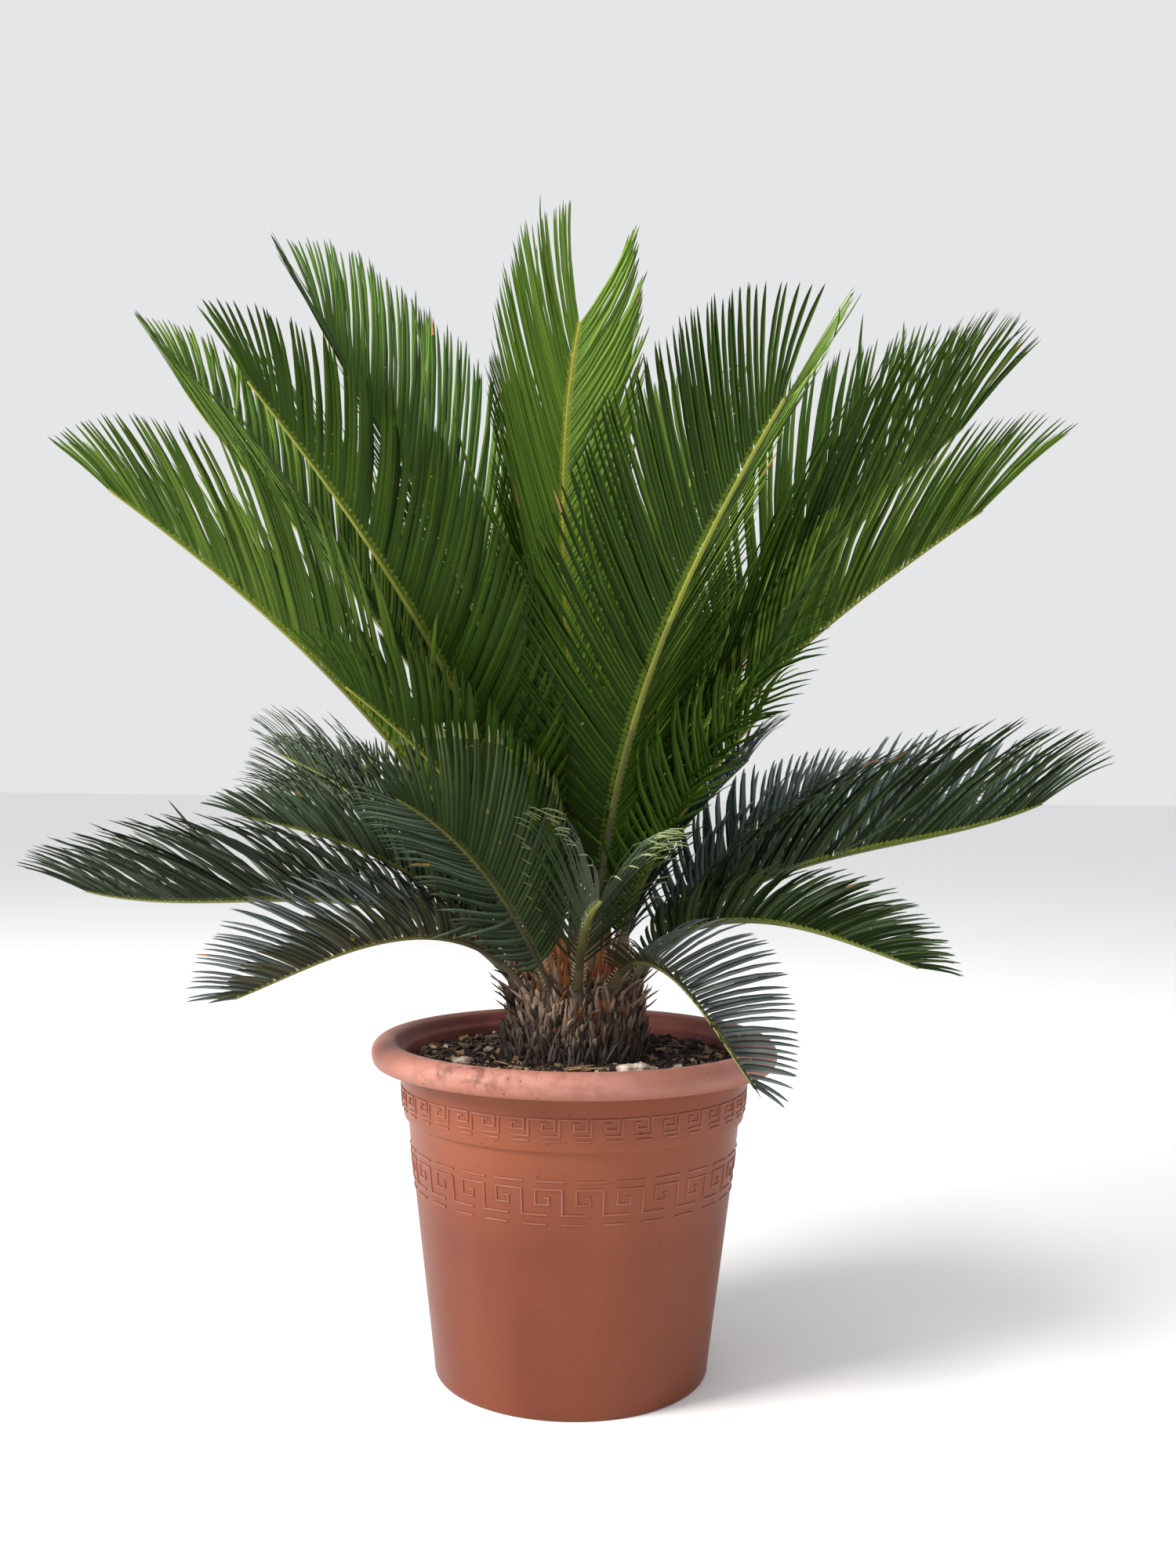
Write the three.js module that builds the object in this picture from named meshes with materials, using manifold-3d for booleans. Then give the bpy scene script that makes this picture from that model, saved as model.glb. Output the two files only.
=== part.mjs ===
// A sago palm (Cycas revoluta) growing in a round plastic flower pot.
// Millimetres, +Z up. The origin is the middle of the pot's underside, the plant's front faces -Y.
import * as THREE from "three";
import { mergeVertices } from "three/addons/utils/BufferGeometryUtils.js";
import Module from "manifold-3d";

const wasm = await Module();
wasm.setup();

// Driving dimensions.
const GAP = 0.3; // air between pieces that touch
const ROUND_SEGMENTS = 48; // facets round the pot and the soil

const POT = {
  height: 291, // to the top of the rolled rim
  rimRadius: 178.5, // outermost edge of the roll
  rimRise: 20.5, // the roll from its lower edge to its top
  mouthRadius: 153.5, // inner edge of the roll
  collarRadius: 152, // outside of the straight collar below the roll
  collarFoot: 222, // height of the step under the collar
  stepDepth: 5, // how far the wall goes in at the step
  baseRadius: 119.5, // outside of the wall at the bottom
  baseRound: 4, // rounding where the wall meets the underside
  wall: 4,
  floor: 6,
  drainRadius: 7,
  drainCircle: 78,
  drains: 5,
};

const SOIL = { level: 275 };

const TRUNK = {
  footRadius: 66, // flare where the stem meets the soil
  waistRadius: 59, // below the crown
  scaleRows: 6, // old leaf bases, row above row
  scalesRound: 16,
  scaleDepth: 4.5, // how far a leaf base stands out
};

// Where the fronds leave the crown: radius and height of each ring of leaf bases.
const RINGS = {
  outer: { radius: 50, height: 332, stemWidth: 8.5, stemDepth: 8 },
  middle: { radius: 38, height: 350, stemWidth: 8.5, stemDepth: 8 },
  inner: { radius: 24, height: 362, stemWidth: 8, stemDepth: 8 },
  heart: { radius: 7, height: 366, stemWidth: 8, stemDepth: 7.5 },
};

const FROND = {
  bare: 0.14, // share of the length that carries no leaflets
  pitch: 26, // between leaflets along the rib
  tipWidth: 2.6, // rib at its end
  tipDepth: 2.4,
  leafThick: 0.012, // leaflet thickness for each millimetre of length
  leafWaist: 0.6, // where a leaflet starts to narrow to its point
  leafFill: 0.7, // leaflet width there, as a share of the pitch
  bend: 12, // degrees a leaflet curves towards the frond's tip
  clear: 0.5, // least air round a leaflet
  shorter: [1, 0.8, 0.6, 0.42], // lengths tried before a crowded leaflet is left out
};

// Leaflets against their place u along the feathered part of a frond, 0 at the stem and 1 at the tip.
const LEAF_SPREAD = [
  [0, 66],
  [0.2, 58],
  [0.5, 52],
  [0.8, 45],
  [0.93, 37],
  [1, 15],
]; // degrees between leaflet and rib

// foot: where the stem leaves its ring, azimuth: where the frond points, turn: how far that swings
// to the tip, lean: degrees above the horizon at stem, middle and tip. All in degrees, 0 along +X
// and 90 towards the back. leaf: longest leaflet, vee: how steeply the two rows stand up, sweep: how
// widely they spread, roll: turn about the rib, end: leaflet length at the tip as a share of leaf.
// split: the frond arches round a gap, so it is two pieces that meet there.
const FRONDS = [
  { name: "heart", ring: "heart", foot: -90, azimuth: 134, turn: -63.5, lean: [91, 76, 64],
    length: 622, leaf: 226, vee: 9, sweep: 0.59, roll: 36, end: 0.66 },
  { name: "front_left_tall", ring: "middle", foot: 216, azimuth: 216, turn: -3, lean: [82, 58, 46],
    length: 550, leaf: 146, vee: 46, sweep: 0.96, roll: -2, end: 0.48 },
  { name: "front_right_tall", ring: "middle", foot: -66, azimuth: -70, turn: -1, lean: [86, 46, 28],
    length: 562, leaf: 168, vee: 51, sweep: 0.97, end: 0.52 },
  { name: "back_left_tall", ring: "inner", foot: 140, azimuth: 132, turn: 8, lean: [84, 56, 54],
    length: 750, leaf: 222, vee: 52, sweep: 0.72, roll: -15, end: 0.57 },
  { name: "back_right_high", ring: "middle", foot: 26, azimuth: 26, turn: 0, lean: [82, 50, 40],
    length: 675, leaf: 236, vee: 64, sweep: 0.84, roll: 8, end: 0.6 },
  { name: "right_high", ring: "middle", foot: 0, azimuth: 0, turn: -5, lean: [87, 48, 36],
    length: 532, leaf: 176, vee: 42, sweep: 0.94, roll: 3, end: 0.62 },
  { name: "left_high", ring: "middle", foot: 190, azimuth: 190, turn: 1, lean: [66, 47, 35],
    length: 550, leaf: 188, vee: 41, sweep: 0.88, roll: 4, end: 0.34 },
  { name: "back_left_high", ring: "middle", foot: 151, azimuth: 151, turn: -1, lean: [80, 46, 50],
    length: 735, leaf: 195, vee: 44, sweep: 0.7, roll: -4, end: 0.6 },
  { name: "left_low", ring: "outer", foot: 182, azimuth: 178, turn: 0, lean: [55, 1, 13],
    length: 412, leaf: 155, vee: 43, roll: 2, end: 0.43, split: 0.3 },
  { name: "right_low", ring: "outer", foot: -3, azimuth: 2, turn: 8, lean: [63, 15, 23],
    length: 425, leaf: 178, vee: 41, sweep: 1.18, roll: -1, end: 0.45, split: 0.3 },
  { name: "front_left_arch", ring: "outer", foot: 212, azimuth: 204, turn: 0, lean: [62, -7, -20],
    length: 275, leaf: 110, vee: 51, sweep: 1.18, roll: 4, end: 0.36, split: 0.42 },
  { name: "right_arch", ring: "outer", foot: -24, azimuth: -23, turn: 2, lean: [71, 0, -17],
    length: 282, leaf: 97, vee: 45, sweep: 1.03, roll: -2, end: 0.38, split: 0.42 },
  { name: "front_right_arch", ring: "outer", foot: -54, azimuth: -66, turn: 12, lean: [60, -20, -38],
    length: 245, leaf: 80, vee: 47, sweep: 1.28, roll: 3, end: 0.37, split: 0.42 },
  { name: "front_left_low", ring: "outer", foot: 248, azimuth: 225, turn: -25, lean: [60, 51, 28],
    length: 225, leaf: 125, vee: 34, sweep: 1.03, roll: -80, end: 0.36 },
  { name: "front_low", ring: "outer", foot: 272, azimuth: 276, turn: -3, lean: [62, 18, 10],
    length: 255, leaf: 118, vee: 48, roll: -8, end: 0.6 },
  { name: "left_back_low", ring: "outer", foot: 150, azimuth: 157, turn: -15, lean: [62, 32, 18],
    length: 375, leaf: 118, vee: 43, sweep: 1.1, roll: 8, end: 0.45 },
  { name: "left_front_low", ring: "outer", foot: 197, azimuth: 195, turn: 0, lean: [65, 30, 11],
    length: 292, leaf: 80, vee: 42, sweep: 0.96, roll: -6, end: 0.5 },
  { name: "left_inner_low", ring: "outer", foot: 166, azimuth: 165, turn: -3, lean: [76, 29, 14],
    length: 300, leaf: 105, vee: 41, sweep: 0.95, roll: -4, end: 0.57 },
  { name: "left_front_mid", ring: "middle", foot: 238, azimuth: 212, turn: -8, lean: [76, 50, 36],
    length: 310, leaf: 115, vee: 36, end: 0.6 },
  { name: "right_front_high", ring: "middle", foot: -28, azimuth: -28, turn: 4, lean: [78, 58, 46],
    length: 262, leaf: 112, vee: 42, end: 0.5 },
  { name: "back_right_low", ring: "outer", foot: 46, azimuth: 48, turn: 0, lean: [76, 42, 30],
    length: 300, leaf: 115, vee: 42, end: 0.6 },
  { name: "heart_back", ring: "inner", foot: 95, azimuth: 108, turn: 10, lean: [85, 74, 62],
    length: 520, leaf: 170, vee: 44, sweep: 0.8, end: 0.6 },
  { name: "heart_right", ring: "inner", foot: 45, azimuth: 62, turn: -5, lean: [84, 66, 52],
    length: 560, leaf: 175, vee: 44, sweep: 0.85, end: 0.6 },
  { name: "back_high", ring: "middle", foot: 89, azimuth: 92, turn: 4, lean: [80, 52, 34],
    length: 560, leaf: 170, vee: 42, end: 0.55 },
  { name: "back_right_mid", ring: "middle", foot: 56, azimuth: 54, turn: 0, lean: [74, 42, 22],
    length: 520, leaf: 160, vee: 42, end: 0.55 },
  { name: "back_left_mid", ring: "middle", foot: 121, azimuth: 122, turn: 0, lean: [72, 42, 24],
    length: 520, leaf: 160, vee: 42, end: 0.55 },
  { name: "back_low_right", ring: "outer", foot: 73, azimuth: 75, turn: 0, lean: [62, 22, 2],
    length: 420, leaf: 135, vee: 42, end: 0.5 },
  { name: "back_low_left", ring: "outer", foot: 103, azimuth: 105, turn: 6, lean: [58, 18, -6],
    length: 430, leaf: 135, vee: 42, end: 0.5 },
  { name: "left_back_wide", ring: "outer", foot: 131, azimuth: 140, turn: 0, lean: [60, 22, 4],
    length: 420, leaf: 130, vee: 42, end: 0.5 },
  { name: "right_back_wide", ring: "outer", foot: 21, azimuth: 28, turn: 0, lean: [60, 20, -4],
    length: 420, leaf: 130, vee: 42, end: 0.5 },
];

const COLOUR = {
  pot: 0xa85a44,
  soil: 0x2b211b,
  stone: 0xb9ab93,
  bark: 0x4a3426,
  young: 0x4f7f2c,
  grown: 0x2f5a22,
  old: 0x24443a,
};

const degrees = THREE.MathUtils.degToRad;
const plant = new THREE.Group();

// Puts a named mesh into the plant.
function addMesh(name, geometry, color, roughness) {
  const material = new THREE.MeshStandardMaterial({ color, roughness, metalness: 0 });
  const mesh = new THREE.Mesh(geometry, material);
  mesh.name = name;
  plant.add(mesh);
  return mesh;
}

// A closed geometry with its corners shared, as a solid that can be joined, cut or tested.
function toSolid(geometry) {
  const bare = geometry.clone();
  bare.deleteAttribute("normal");
  bare.deleteAttribute("uv");
  const merged = mergeVertices(bare, 1e-3);
  return new wasm.Manifold(
    new wasm.Mesh({
      numProp: 3,
      vertProperties: merged.attributes.position.array,
      triVerts: new Uint32Array(merged.index.array),
    }),
  );
}

function toGeometry(solid) {
  const mesh = solid.getMesh();
  const geometry = new THREE.BufferGeometry();
  geometry.setAttribute("position", new THREE.BufferAttribute(mesh.vertProperties, 3));
  geometry.setIndex(new THREE.BufferAttribute(mesh.triVerts, 1));
  geometry.computeVertexNormals();
  return geometry;
}

// Corners and faces of one closed body.
class Shell {
  constructor() {
    this.points = [];
    this.faces = [];
  }
  point(place) {
    this.points.push(place);
    return this.points.length - 1;
  }
  triangle(a, b, c) {
    this.faces.push(a, b, c);
  }
  quad(a, b, c, d) {
    this.faces.push(a, b, c, a, c, d);
  }
  geometry() {
    const geometry = new THREE.BufferGeometry().setFromPoints(this.points);
    geometry.setIndex(this.faces);
    geometry.computeVertexNormals();
    return geometry;
  }
}

// A profile of [radius, height] pairs turned round the upright axis.
function turned(profile, segments) {
  const line = profile.map(([radius, height]) => new THREE.Vector2(radius, height));
  return new THREE.LatheGeometry(line, segments).rotateX(Math.PI / 2);
}

// Radius of the pot's outside below the step.
function wallRadius(height) {
  const top = POT.collarRadius - 1.5 - POT.stepDepth;
  return THREE.MathUtils.mapLinear(height, 0, POT.collarFoot, POT.baseRadius, top);
}

// Height and radius of the inside of the wall at a given height.
function insideRadius(height) {
  return wallRadius(height) - POT.wall;
}

function makePot() {
  const { height, rimRadius, rimRise, mouthRadius, collarRadius, collarFoot, wall } = POT;
  const rimFoot = height - rimRise;
  const crest = (rimRadius + mouthRadius) / 2;
  const outside = [
    [0, 0],
    [POT.baseRadius - POT.baseRound, 0],
    [wallRadius(POT.baseRound), POT.baseRound],
    [wallRadius(collarFoot), collarFoot],
    [collarRadius - 2, collarFoot + 3],
    [collarRadius - 0.6, collarFoot + 12],
    [collarRadius, rimFoot + 1],
    [rimRadius - 4, rimFoot],
    [rimRadius, rimFoot + rimRise * 0.45],
    [rimRadius - 3, height - rimRise * 0.22],
    [crest + 5, height - 0.5],
    [crest - 4, height],
    [mouthRadius + 1.5, height - 3.5],
    [mouthRadius - 1, height - 9],
  ];
  const inside = [
    [collarRadius - wall, rimFoot - 4],
    [collarRadius - wall - 1, collarFoot + 8],
    [insideRadius(collarFoot), collarFoot - 2],
    [insideRadius(POT.floor), POT.floor],
    [0, POT.floor],
  ];
  let solid = toSolid(turned([...outside, ...inside], ROUND_SEGMENTS));
  for (let i = 0; i < POT.drains; i++) {
    const angle = (2 * Math.PI * (i + 0.5)) / POT.drains;
    const hole = new THREE.CylinderGeometry(POT.drainRadius, POT.drainRadius, 3 * POT.floor, 12);
    hole.rotateX(Math.PI / 2);
    hole.translate(POT.drainCircle * Math.cos(angle), POT.drainCircle * Math.sin(angle), 0);
    solid = solid.subtract(toSolid(hole));
  }
  return solid;
}

function makeSoil() {
  const profile = [
    [0, POT.floor + GAP],
    [insideRadius(POT.floor) - GAP, POT.floor + GAP],
    [insideRadius(POT.collarFoot) - GAP, POT.collarFoot - 2 - GAP],
    [POT.collarRadius - POT.wall - 1 - GAP, POT.collarFoot + 8],
    [POT.collarRadius - POT.wall - 1 - GAP, SOIL.level - 6],
    [POT.collarRadius - POT.wall - 16, SOIL.level - 2],
    [TRUNK.footRadius + 14, SOIL.level],
    [0, SOIL.level],
  ];
  return toSolid(turned(profile, ROUND_SEGMENTS));
}

// The stem: rings of points whose radius swells at each old leaf base, stepped in at the top where
// the rings of fronds stand.
function makeTrunk() {
  const { footRadius, waistRadius, scaleRows, scalesRound, scaleDepth } = TRUNK;
  const foot = SOIL.level + GAP;
  const shoulder = RINGS.outer.height - 5;
  const around = 2 * scalesRound;
  const rings = [{ height: foot, radius: footRadius - 2, bump: 0, shift: 0 }];
  for (let row = 0; row < scaleRows; row++) {
    const from = row / scaleRows;
    const radius = THREE.MathUtils.lerp(footRadius, waistRadius, Math.sqrt(from)) - scaleDepth;
    const low = THREE.MathUtils.lerp(foot, shoulder, from) + 1;
    const tall = (shoulder - foot) / scaleRows;
    rings.push({ height: low, radius, bump: 0, shift: row % 2 });
    rings.push({ height: low + 0.8 * tall, radius: radius + 1, bump: scaleDepth, shift: row % 2 });
  }
  const steps = [
    [RINGS.outer.radius + 4.2, RINGS.outer.height - 3],
    [RINGS.outer.radius - 4.8, RINGS.outer.height + 1.2],
    [RINGS.middle.radius + 5.2, RINGS.middle.height - 2.2],
    [RINGS.middle.radius - 4.6, RINGS.middle.height - 0.8],
    [RINGS.inner.radius + 5, RINGS.inner.height - 2],
    [RINGS.inner.radius - 5, RINGS.inner.height - 1],
    [RINGS.heart.radius + 5, RINGS.heart.height - 1.4],
  ];
  for (const [radius, height] of steps) rings.push({ height, radius, bump: 0, shift: 0 });

  const shell = new Shell();
  for (const ring of rings) {
    for (let i = 0; i < around; i++) {
      const angle = (2 * Math.PI * i) / around;
      const radius = ring.radius + ((i + ring.shift) % 2 ? 0 : ring.bump);
      shell.point(new THREE.Vector3(radius * Math.cos(angle), radius * Math.sin(angle), ring.height));
    }
  }
  const under = shell.point(new THREE.Vector3(0, 0, foot));
  const over = shell.point(new THREE.Vector3(0, 0, RINGS.heart.height - 1.2));
  const last = (rings.length - 1) * around;
  for (let i = 0; i < around; i++) {
    const next = (i + 1) % around;
    for (let ring = 0; ring < last; ring += around) {
      shell.quad(ring + i, ring + next, ring + around + next, ring + around + i);
    }
    shell.triangle(under, next, i);
    shell.triangle(over, last + i, last + next);
  }
  return toSolid(shell.geometry());
}

// A pale stone that lies on the soil.
function makeStone(size, place) {
  const shape = new THREE.IcosahedronGeometry(1, 1);
  const position = shape.attributes.position;
  const corner = new THREE.Vector3();
  for (let i = 0; i < position.count; i++) {
    corner.fromBufferAttribute(position, i);
    const knob = 1 + 0.12 * Math.sin(5 * corner.x + 3 * corner.y) * Math.cos(4 * corner.z);
    corner.multiplyScalar(knob);
    corner.z = Math.max(corner.z, -0.45);
    corner.multiply(size);
    position.setXYZ(i, corner.x, corner.y, corner.z);
  }
  shape.translate(place.x, place.y, place.z + 0.45 * size.z);
  return toSolid(shape);
}

// Value at x on a line through [x, y] pairs.
function along(pairs, x) {
  let i = 1;
  while (i < pairs.length - 1 && x > pairs[i][0]) i++;
  return THREE.MathUtils.mapLinear(x, pairs[i - 1][0], pairs[i][0], pairs[i - 1][1], pairs[i][1]);
}

// The rib's middle line and its three directions, at a share s of the frond's length.
function ribLine(frond) {
  const steps = 120;
  const [base, middle, tip] = frond.lean;
  const ring = RINGS[frond.ring];
  const roll = degrees(frond.roll ?? 0);
  function directions(s) {
    const lean = base * (1 - s) * (1 - 2 * s) + 4 * middle * s * (1 - s) + tip * s * (2 * s - 1);
    const rise = degrees(lean);
    const way = degrees(frond.azimuth + frond.turn * s);
    const ahead = new THREE.Vector3(
      Math.cos(rise) * Math.cos(way),
      Math.cos(rise) * Math.sin(way),
      Math.sin(rise),
    );
    const left = new THREE.Vector3(-Math.sin(way), Math.cos(way), 0);
    const up = new THREE.Vector3().crossVectors(ahead, left);
    left.applyAxisAngle(ahead, roll);
    up.applyAxisAngle(ahead, roll);
    return { ahead, left, up };
  }
  const foot = degrees(frond.foot);
  const start = new THREE.Vector3(Math.cos(foot), Math.sin(foot), 0);
  const points = [start.multiplyScalar(ring.radius).setZ(ring.height)];
  for (let i = 0; i < steps; i++) {
    const move = directions((i + 0.5) / steps).ahead.multiplyScalar(frond.length / steps);
    points.push(points[i].clone().add(move));
  }
  return function (s) {
    const step = Math.min(Math.floor(s * steps), steps - 1);
    const middlePoint = points[step].clone().lerp(points[step + 1], s * steps - step);
    return { middle: middlePoint, ...directions(s) };
  };
}

// The four corners of the rib's section: left up, right up, right down, left down.
function ribSection(frond, line, s) {
  const { middle, left, up } = line(s);
  const ring = RINGS[frond.ring];
  const width = THREE.MathUtils.lerp(ring.stemWidth, FROND.tipWidth, Math.sqrt(s)) / 2;
  const depth = THREE.MathUtils.lerp(ring.stemDepth, FROND.tipDepth, Math.sqrt(s)) / 2;
  const corner = (side, height) =>
    middle.clone().addScaledVector(left, side * width).addScaledVector(up, height * depth);
  return [corner(1, 1), corner(-1, 1), corner(-1, -1), corner(1, -1)];
}

// Leaflet length at u: short at the stem, longest before the middle, then down to the tip.
function leafLength(frond, u) {
  const shares = [
    [0, 0.35],
    [0.12, 0.7],
    [0.3, 0.97],
    [0.55, 1],
    [0.8, 0.55 + frond.end / 2],
    [1, frond.end],
  ];
  return frond.leaf * along(shares, u);
}

// One leaflet between two rib stations: the ring of corners where it starts to narrow, and its tip.
// side is 1 for the left row and -1 for the right one; grow adds air all round it.
function leafShape(frond, line, from, to, side, share, grow) {
  const s = (from + to) / 2;
  const u = (s - FROND.bare) / (1 - FROND.bare);
  const { ahead, left, up } = line(s);
  const length = leafLength(frond, u) * share;
  const spread = degrees(along(LEAF_SPREAD, u) * (frond.sweep ?? 1));
  const rise = degrees(frond.vee * (0.5 + 0.5 * Math.min(1, u / 0.55)));
  const bend = degrees(FROND.bend);
  const outward = left.clone().multiplyScalar(side * Math.cos(rise)).addScaledVector(up, Math.sin(rise));
  const face = up.clone().multiplyScalar(Math.cos(rise)).addScaledVector(left, -side * Math.sin(rise));
  const way = (angle) =>
    ahead.clone().multiplyScalar(Math.cos(angle)).addScaledVector(outward, Math.sin(angle));
  const root = ribSection(frond, line, s);
  const edge = side > 0 ? [root[0], root[3]] : [root[1], root[2]];
  const origin = edge[0].clone().add(edge[1]).multiplyScalar(0.5);
  const waist = origin.clone().addScaledVector(way(spread - 0.3 * bend), FROND.leafWaist * length);
  const tipReach = (1 - FROND.leafWaist) * length + grow;
  const tip = waist.clone().addScaledVector(way(spread - 0.8 * bend), tipReach);
  const half = ((to - from) * frond.length * FROND.leafFill) / 2 + grow;
  const thick = Math.max(1.6, FROND.leafThick * length) / 2 + grow;
  const corner = (forward, height) =>
    waist.clone().addScaledVector(ahead, forward * half).addScaledVector(face, height * thick);
  const ring =
    side > 0
      ? [corner(-1, -1), corner(-1, 1), corner(1, 1), corner(1, -1)]
      : [corner(-1, 1), corner(-1, -1), corner(1, -1), corner(1, 1)];
  return { ring, tip, simple: u < 0.06 || u > 0.95 };
}

// Adds a leaflet's walls to a shell, from its four root corners.
function addLeaf(shell, roots, leaf) {
  const tip = shell.point(leaf.tip);
  const ring = leaf.simple ? roots : leaf.ring.map((corner) => shell.point(corner));
  for (let i = 0; i < 4; i++) {
    const next = (i + 1) % 4;
    if (!leaf.simple) shell.quad(roots[i], roots[next], ring[next], ring[i]);
    shell.triangle(ring[i], ring[next], tip);
  }
}

// Stations along a frond: the bare stem in three steps, then one for each pair of leaflets.
function stationsOf(frond) {
  const pairs = Math.round(((1 - FROND.bare) * frond.length) / FROND.pitch);
  const stations = [0, FROND.bare / 3, (2 * FROND.bare) / 3];
  for (let i = 0; i <= pairs; i++) stations.push(FROND.bare + ((1 - FROND.bare) * i) / pairs);
  return stations;
}

// Root corners of the leaflet between two sections, in the order that its walls follow.
function rootCorners(side, a, b) {
  return side > 0 ? [a[3], a[0], b[0], b[3]] : [a[1], a[2], b[2], b[1]];
}

// A closed body for the stretch of a frond between two stations, with the leaflets that fit.
function frondShell(line, frond, stations, first, last, leaves) {
  const shell = new Shell();
  const half = GAP / 2 / frond.length;
  const sections = [];
  for (let k = first; k <= last; k++) {
    let s = stations[k];
    if (k === first && k > 0) s += half;
    if (k === last && k < stations.length - 1) s -= half;
    sections.push(ribSection(frond, line, s).map((corner) => shell.point(corner)));
  }
  const start = sections[0];
  const end = sections[sections.length - 1];
  shell.quad(start[0], start[3], start[2], start[1]);
  shell.quad(end[0], end[1], end[2], end[3]);
  for (let k = first; k < last; k++) {
    const a = sections[k - first];
    const b = sections[k - first + 1];
    shell.quad(a[0], a[1], b[1], b[0]);
    shell.quad(a[3], b[3], b[2], a[2]);
    for (const side of [1, -1]) {
      const roots = rootCorners(side, a, b);
      const leaf = leaves.get(k * side);
      if (leaf) addLeaf(shell, roots, leaf);
      else shell.quad(...roots);
    }
  }
  return shell;
}

// A box round a solid, for a quick test before the exact one.
function boxOf(solid) {
  const { min, max } = solid.boundingBox();
  return new THREE.Box3(new THREE.Vector3(...min), new THREE.Vector3(...max));
}

// True where a grown leaflet meets something of another frond, the stem or the pot.
function isBlocked(solid, box, owner, obstacles) {
  for (const other of obstacles) {
    if (other.owner === owner || !other.box.intersectsBox(box)) continue;
    const common = solid.intersect(other.solid);
    const hit = common.volume() > 0;
    common.delete();
    if (hit) return true;
  }
  return false;
}

// The leaflets of a frond that keep to their own space, each at the longest length that fits.
function fitLeaves(frond, line, stations, obstacles) {
  const leaves = new Map();
  for (let k = 3; k < stations.length - 1; k++) {
    for (const side of [1, -1]) {
      for (const share of FROND.shorter) {
        const grown = leafShape(frond, line, stations[k], stations[k + 1], side, share, FROND.clear);
        const shell = new Shell();
        const a = ribSection(frond, line, stations[k]).map((corner) => shell.point(corner));
        const b = ribSection(frond, line, stations[k + 1]).map((corner) => shell.point(corner));
        const roots = rootCorners(side, a, b);
        addLeaf(shell, roots, grown);
        shell.quad(roots[3], roots[2], roots[1], roots[0]);
        const solid = toSolid(shell.geometry());
        const box = boxOf(solid);
        if (isBlocked(solid, box, frond, obstacles)) {
          solid.delete();
          continue;
        }
        obstacles.push({ owner: frond, solid, box });
        leaves.set(k * side, leafShape(frond, line, stations[k], stations[k + 1], side, share, 0));
        break;
      }
    }
  }
  return leaves;
}

const pot = makePot();
const soil = makeSoil();
const trunk = makeTrunk();
const stones = [
  { size: new THREE.Vector3(16, 11, 8), place: new THREE.Vector3(52, -102, SOIL.level + GAP) },
  { size: new THREE.Vector3(9, 7, 5), place: new THREE.Vector3(-92, -62, SOIL.level + GAP) },
].map(({ size, place }) => makeStone(size, place));

addMesh("pot", toGeometry(pot), COLOUR.pot, 0.55);
addMesh("potting_soil", toGeometry(soil), COLOUR.soil, 0.95);
addMesh("trunk", toGeometry(trunk), COLOUR.bark, 0.9);
stones.forEach((stone, i) => addMesh("stone_" + (i + 1), toGeometry(stone), COLOUR.stone, 0.85));

// Every rib is an obstacle for the leaflets of the other fronds before any leaflet is placed.
const obstacles = [pot, soil, trunk, ...stones].map((solid) => ({ solid, box: boxOf(solid) }));
const lines = FRONDS.map(ribLine);
const noLeaves = new Map();
FRONDS.forEach((frond, i) => {
  const stations = stationsOf(frond);
  const shell = frondShell(lines[i], frond, stations, 0, stations.length - 1, noLeaves);
  const solid = toSolid(shell.geometry());
  obstacles.push({ owner: frond, solid, box: boxOf(solid) });
});

const LEAF_COLOUR = { heart: "young", inner: "young", middle: "grown", outer: "old" };
FRONDS.forEach((frond, i) => {
  const line = lines[i];
  const stations = stationsOf(frond);
  const leaves = fitLeaves(frond, line, stations, obstacles);
  const color = COLOUR[LEAF_COLOUR[frond.ring]];
  const last = stations.length - 1;
  if (!frond.split) {
    const whole = frondShell(line, frond, stations, 0, last, leaves);
    addMesh("frond_" + frond.name, whole.geometry(), color, 0.5);
    return;
  }
  const bend = stations.findIndex((s) => s >= frond.split);
  const inner = frondShell(line, frond, stations, 0, bend, leaves);
  const outer = frondShell(line, frond, stations, bend, last, leaves);
  addMesh("frond_" + frond.name + "_inner", inner.geometry(), color, 0.5);
  addMesh("frond_" + frond.name + "_outer", outer.geometry(), color, 0.5);
});

export default plant;
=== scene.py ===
import math
from collections import namedtuple

import bpy
import numpy as np
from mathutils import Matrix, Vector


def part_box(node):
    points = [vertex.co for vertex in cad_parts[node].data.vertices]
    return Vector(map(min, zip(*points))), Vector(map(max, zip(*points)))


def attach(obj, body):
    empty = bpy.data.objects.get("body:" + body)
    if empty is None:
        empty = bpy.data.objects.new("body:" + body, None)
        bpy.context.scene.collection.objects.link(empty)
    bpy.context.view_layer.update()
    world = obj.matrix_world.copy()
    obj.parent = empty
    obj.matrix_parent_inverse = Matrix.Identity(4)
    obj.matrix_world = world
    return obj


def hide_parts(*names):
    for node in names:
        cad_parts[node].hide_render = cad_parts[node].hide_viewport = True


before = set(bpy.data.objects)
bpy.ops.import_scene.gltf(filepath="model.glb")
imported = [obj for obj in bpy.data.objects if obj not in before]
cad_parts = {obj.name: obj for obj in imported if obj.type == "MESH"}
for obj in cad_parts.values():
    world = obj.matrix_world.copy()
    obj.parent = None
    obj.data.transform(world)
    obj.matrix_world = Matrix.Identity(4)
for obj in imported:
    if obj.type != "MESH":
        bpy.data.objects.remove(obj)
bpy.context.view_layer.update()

mm = 0.001
up = np.array([0, 0, 1.0])
plainKeel = (-0.5, 0.5, 0.2)


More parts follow.
